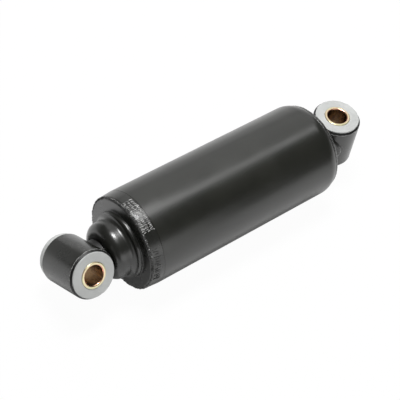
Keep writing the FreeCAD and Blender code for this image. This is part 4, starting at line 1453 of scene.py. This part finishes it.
@dataclass
class Stage:
    """The pale floor, the white surroundings and the lamps.

    Attributes:
        floor_z: Height of the floor, under the tube.
        floor_half: Half the floor's width.
        floor_tone: How much light the floor gives back.
        floor_white: How much of the floor the camera sees as plain white, the rest with its shadow.
        floor_mirrored: How much of that white metal and paint show.
        world_light: Strength of the surroundings' grey light.
        world_mirrored: How much of the white surroundings metal and paint show.
        boxes: The lamps.
    """

    floor_z: float = -0.025
    floor_half: float = 3.0
    floor_tone: float = 0.95
    floor_white: float = 0.97
    floor_mirrored: float = 0.2
    world_light: float = 0.06
    world_mirrored: float = 0.06
    boxes: tuple[SoftBox, ...] = (
        SoftBox("top_key_box", (0.07, -0.12, 0.89), 0.34, 0.22, 7.7, aim=(0.07, 0.0, 0.0)),
        SoftBox("top_run_strip", (-0.39, -0.01, 0.80), 0.15, 0.44, 0.6),
        SoftBox("top_back_box", (0.19, 0.19, 0.87), 0.30, 0.26, 0.3),
        SoftBox("broad_side_box", (-0.42, -0.50, 0.55), 0.95, 0.60, 1.35),
        SoftBox("low_side_strip", (-0.45, -0.72, 0.13), 1.0, 0.22, 0.6),
        SoftBox("low_end_strip", (0.31, -0.86, 0.13), 0.6, 0.24, 0.14),
        SoftBox("low_front_strip", (0.12, 0.88, 0.15), 0.9, 0.42, 1.7),
    )

    def build(self) -> None:
        """Create floor, world and lights."""
        self.make_floor()
        self.make_world()
        for box in self.boxes:
            box.build()

    def make_floor(self) -> None:
        """Lay the floor under the tube, nearly white to the camera and with the object's shadow."""
        mesh_maker = bmesh.new()
        bmesh.ops.create_grid(mesh_maker, x_segments=1, y_segments=1, size=self.floor_half)
        bmesh.ops.translate(mesh_maker, verts=mesh_maker.verts, vec=(0.0, 0.0, self.floor_z))
        mesh = bpy.data.meshes.new("floor")
        mesh_maker.to_mesh(mesh)
        mesh_maker.free()
        floor = bpy.data.objects.new("floor", mesh)
        bpy.context.scene.collection.objects.link(floor)
        made, sheet = start_material("pale_floor")
        tone = (self.floor_tone, self.floor_tone, self.floor_tone, 1.0)
        plain = sheet.add("ShaderNodeBsdfDiffuse", {"Color": tone}).outputs["BSDF"]
        white = sheet.add("ShaderNodeEmission", {"Strength": 1.0}).outputs["Emission"]
        sheet.show(sheet.whiten(plain, white, self.floor_white, self.floor_mirrored))
        mesh.materials.append(made)

    def make_world(self) -> None:
        """Make the surroundings: white to the camera, a plain grey light to the object."""
        world = bpy.data.worlds.new("surroundings")
        world.use_nodes = True
        world.node_tree.nodes.clear()
        sheet = NodeSheet(world.node_tree)
        grey, white = (
            sheet.add("ShaderNodeBackground", {"Color": (1.0, 1.0, 1.0, 1.0), "Strength": strength})
            for strength in (self.world_light, 1.0)
        )
        mixed = sheet.whiten(
            grey.outputs["Background"], white.outputs["Background"], camera=1.0, mirrored=self.world_mirrored)
        sheet.show(mixed, "ShaderNodeOutputWorld")
        bpy.context.scene.world = world


def main() -> None:
    """Build the scene in order."""
    logging.basicConfig(level=logging.INFO, format="%(message)s")
    bpy.context.scene.view_settings.view_transform = "Standard"
    Camera().build()
    Stage().build()
    shop = Workshop()
    shop.dress_nodes()
    OuterTube().build(shop)
    EndCap().build(shop)
    BaseEnd().build(shop)
    body_eye = Eye("body", Body.DAMPER, Body.BODY_SLEEVE, Matrix.Identity(4), ("upper", "lower"))
    body_eye.build(shop)
    rod_place = Matrix.Translation((EYE_SPACING, 0.0, 0.0)) @ Matrix.Rotation(-EYE_CLOCKING, 4, "X")
    rod_eye = Eye(
        "rod", Body.ROD, Body.ROD_SLEEVE, rod_place, ("near", "far"), flange_stands=(0.65 * MM, 2.65 * MM))
    rod_eye.build(shop)


if __name__ == "__main__":
    main()
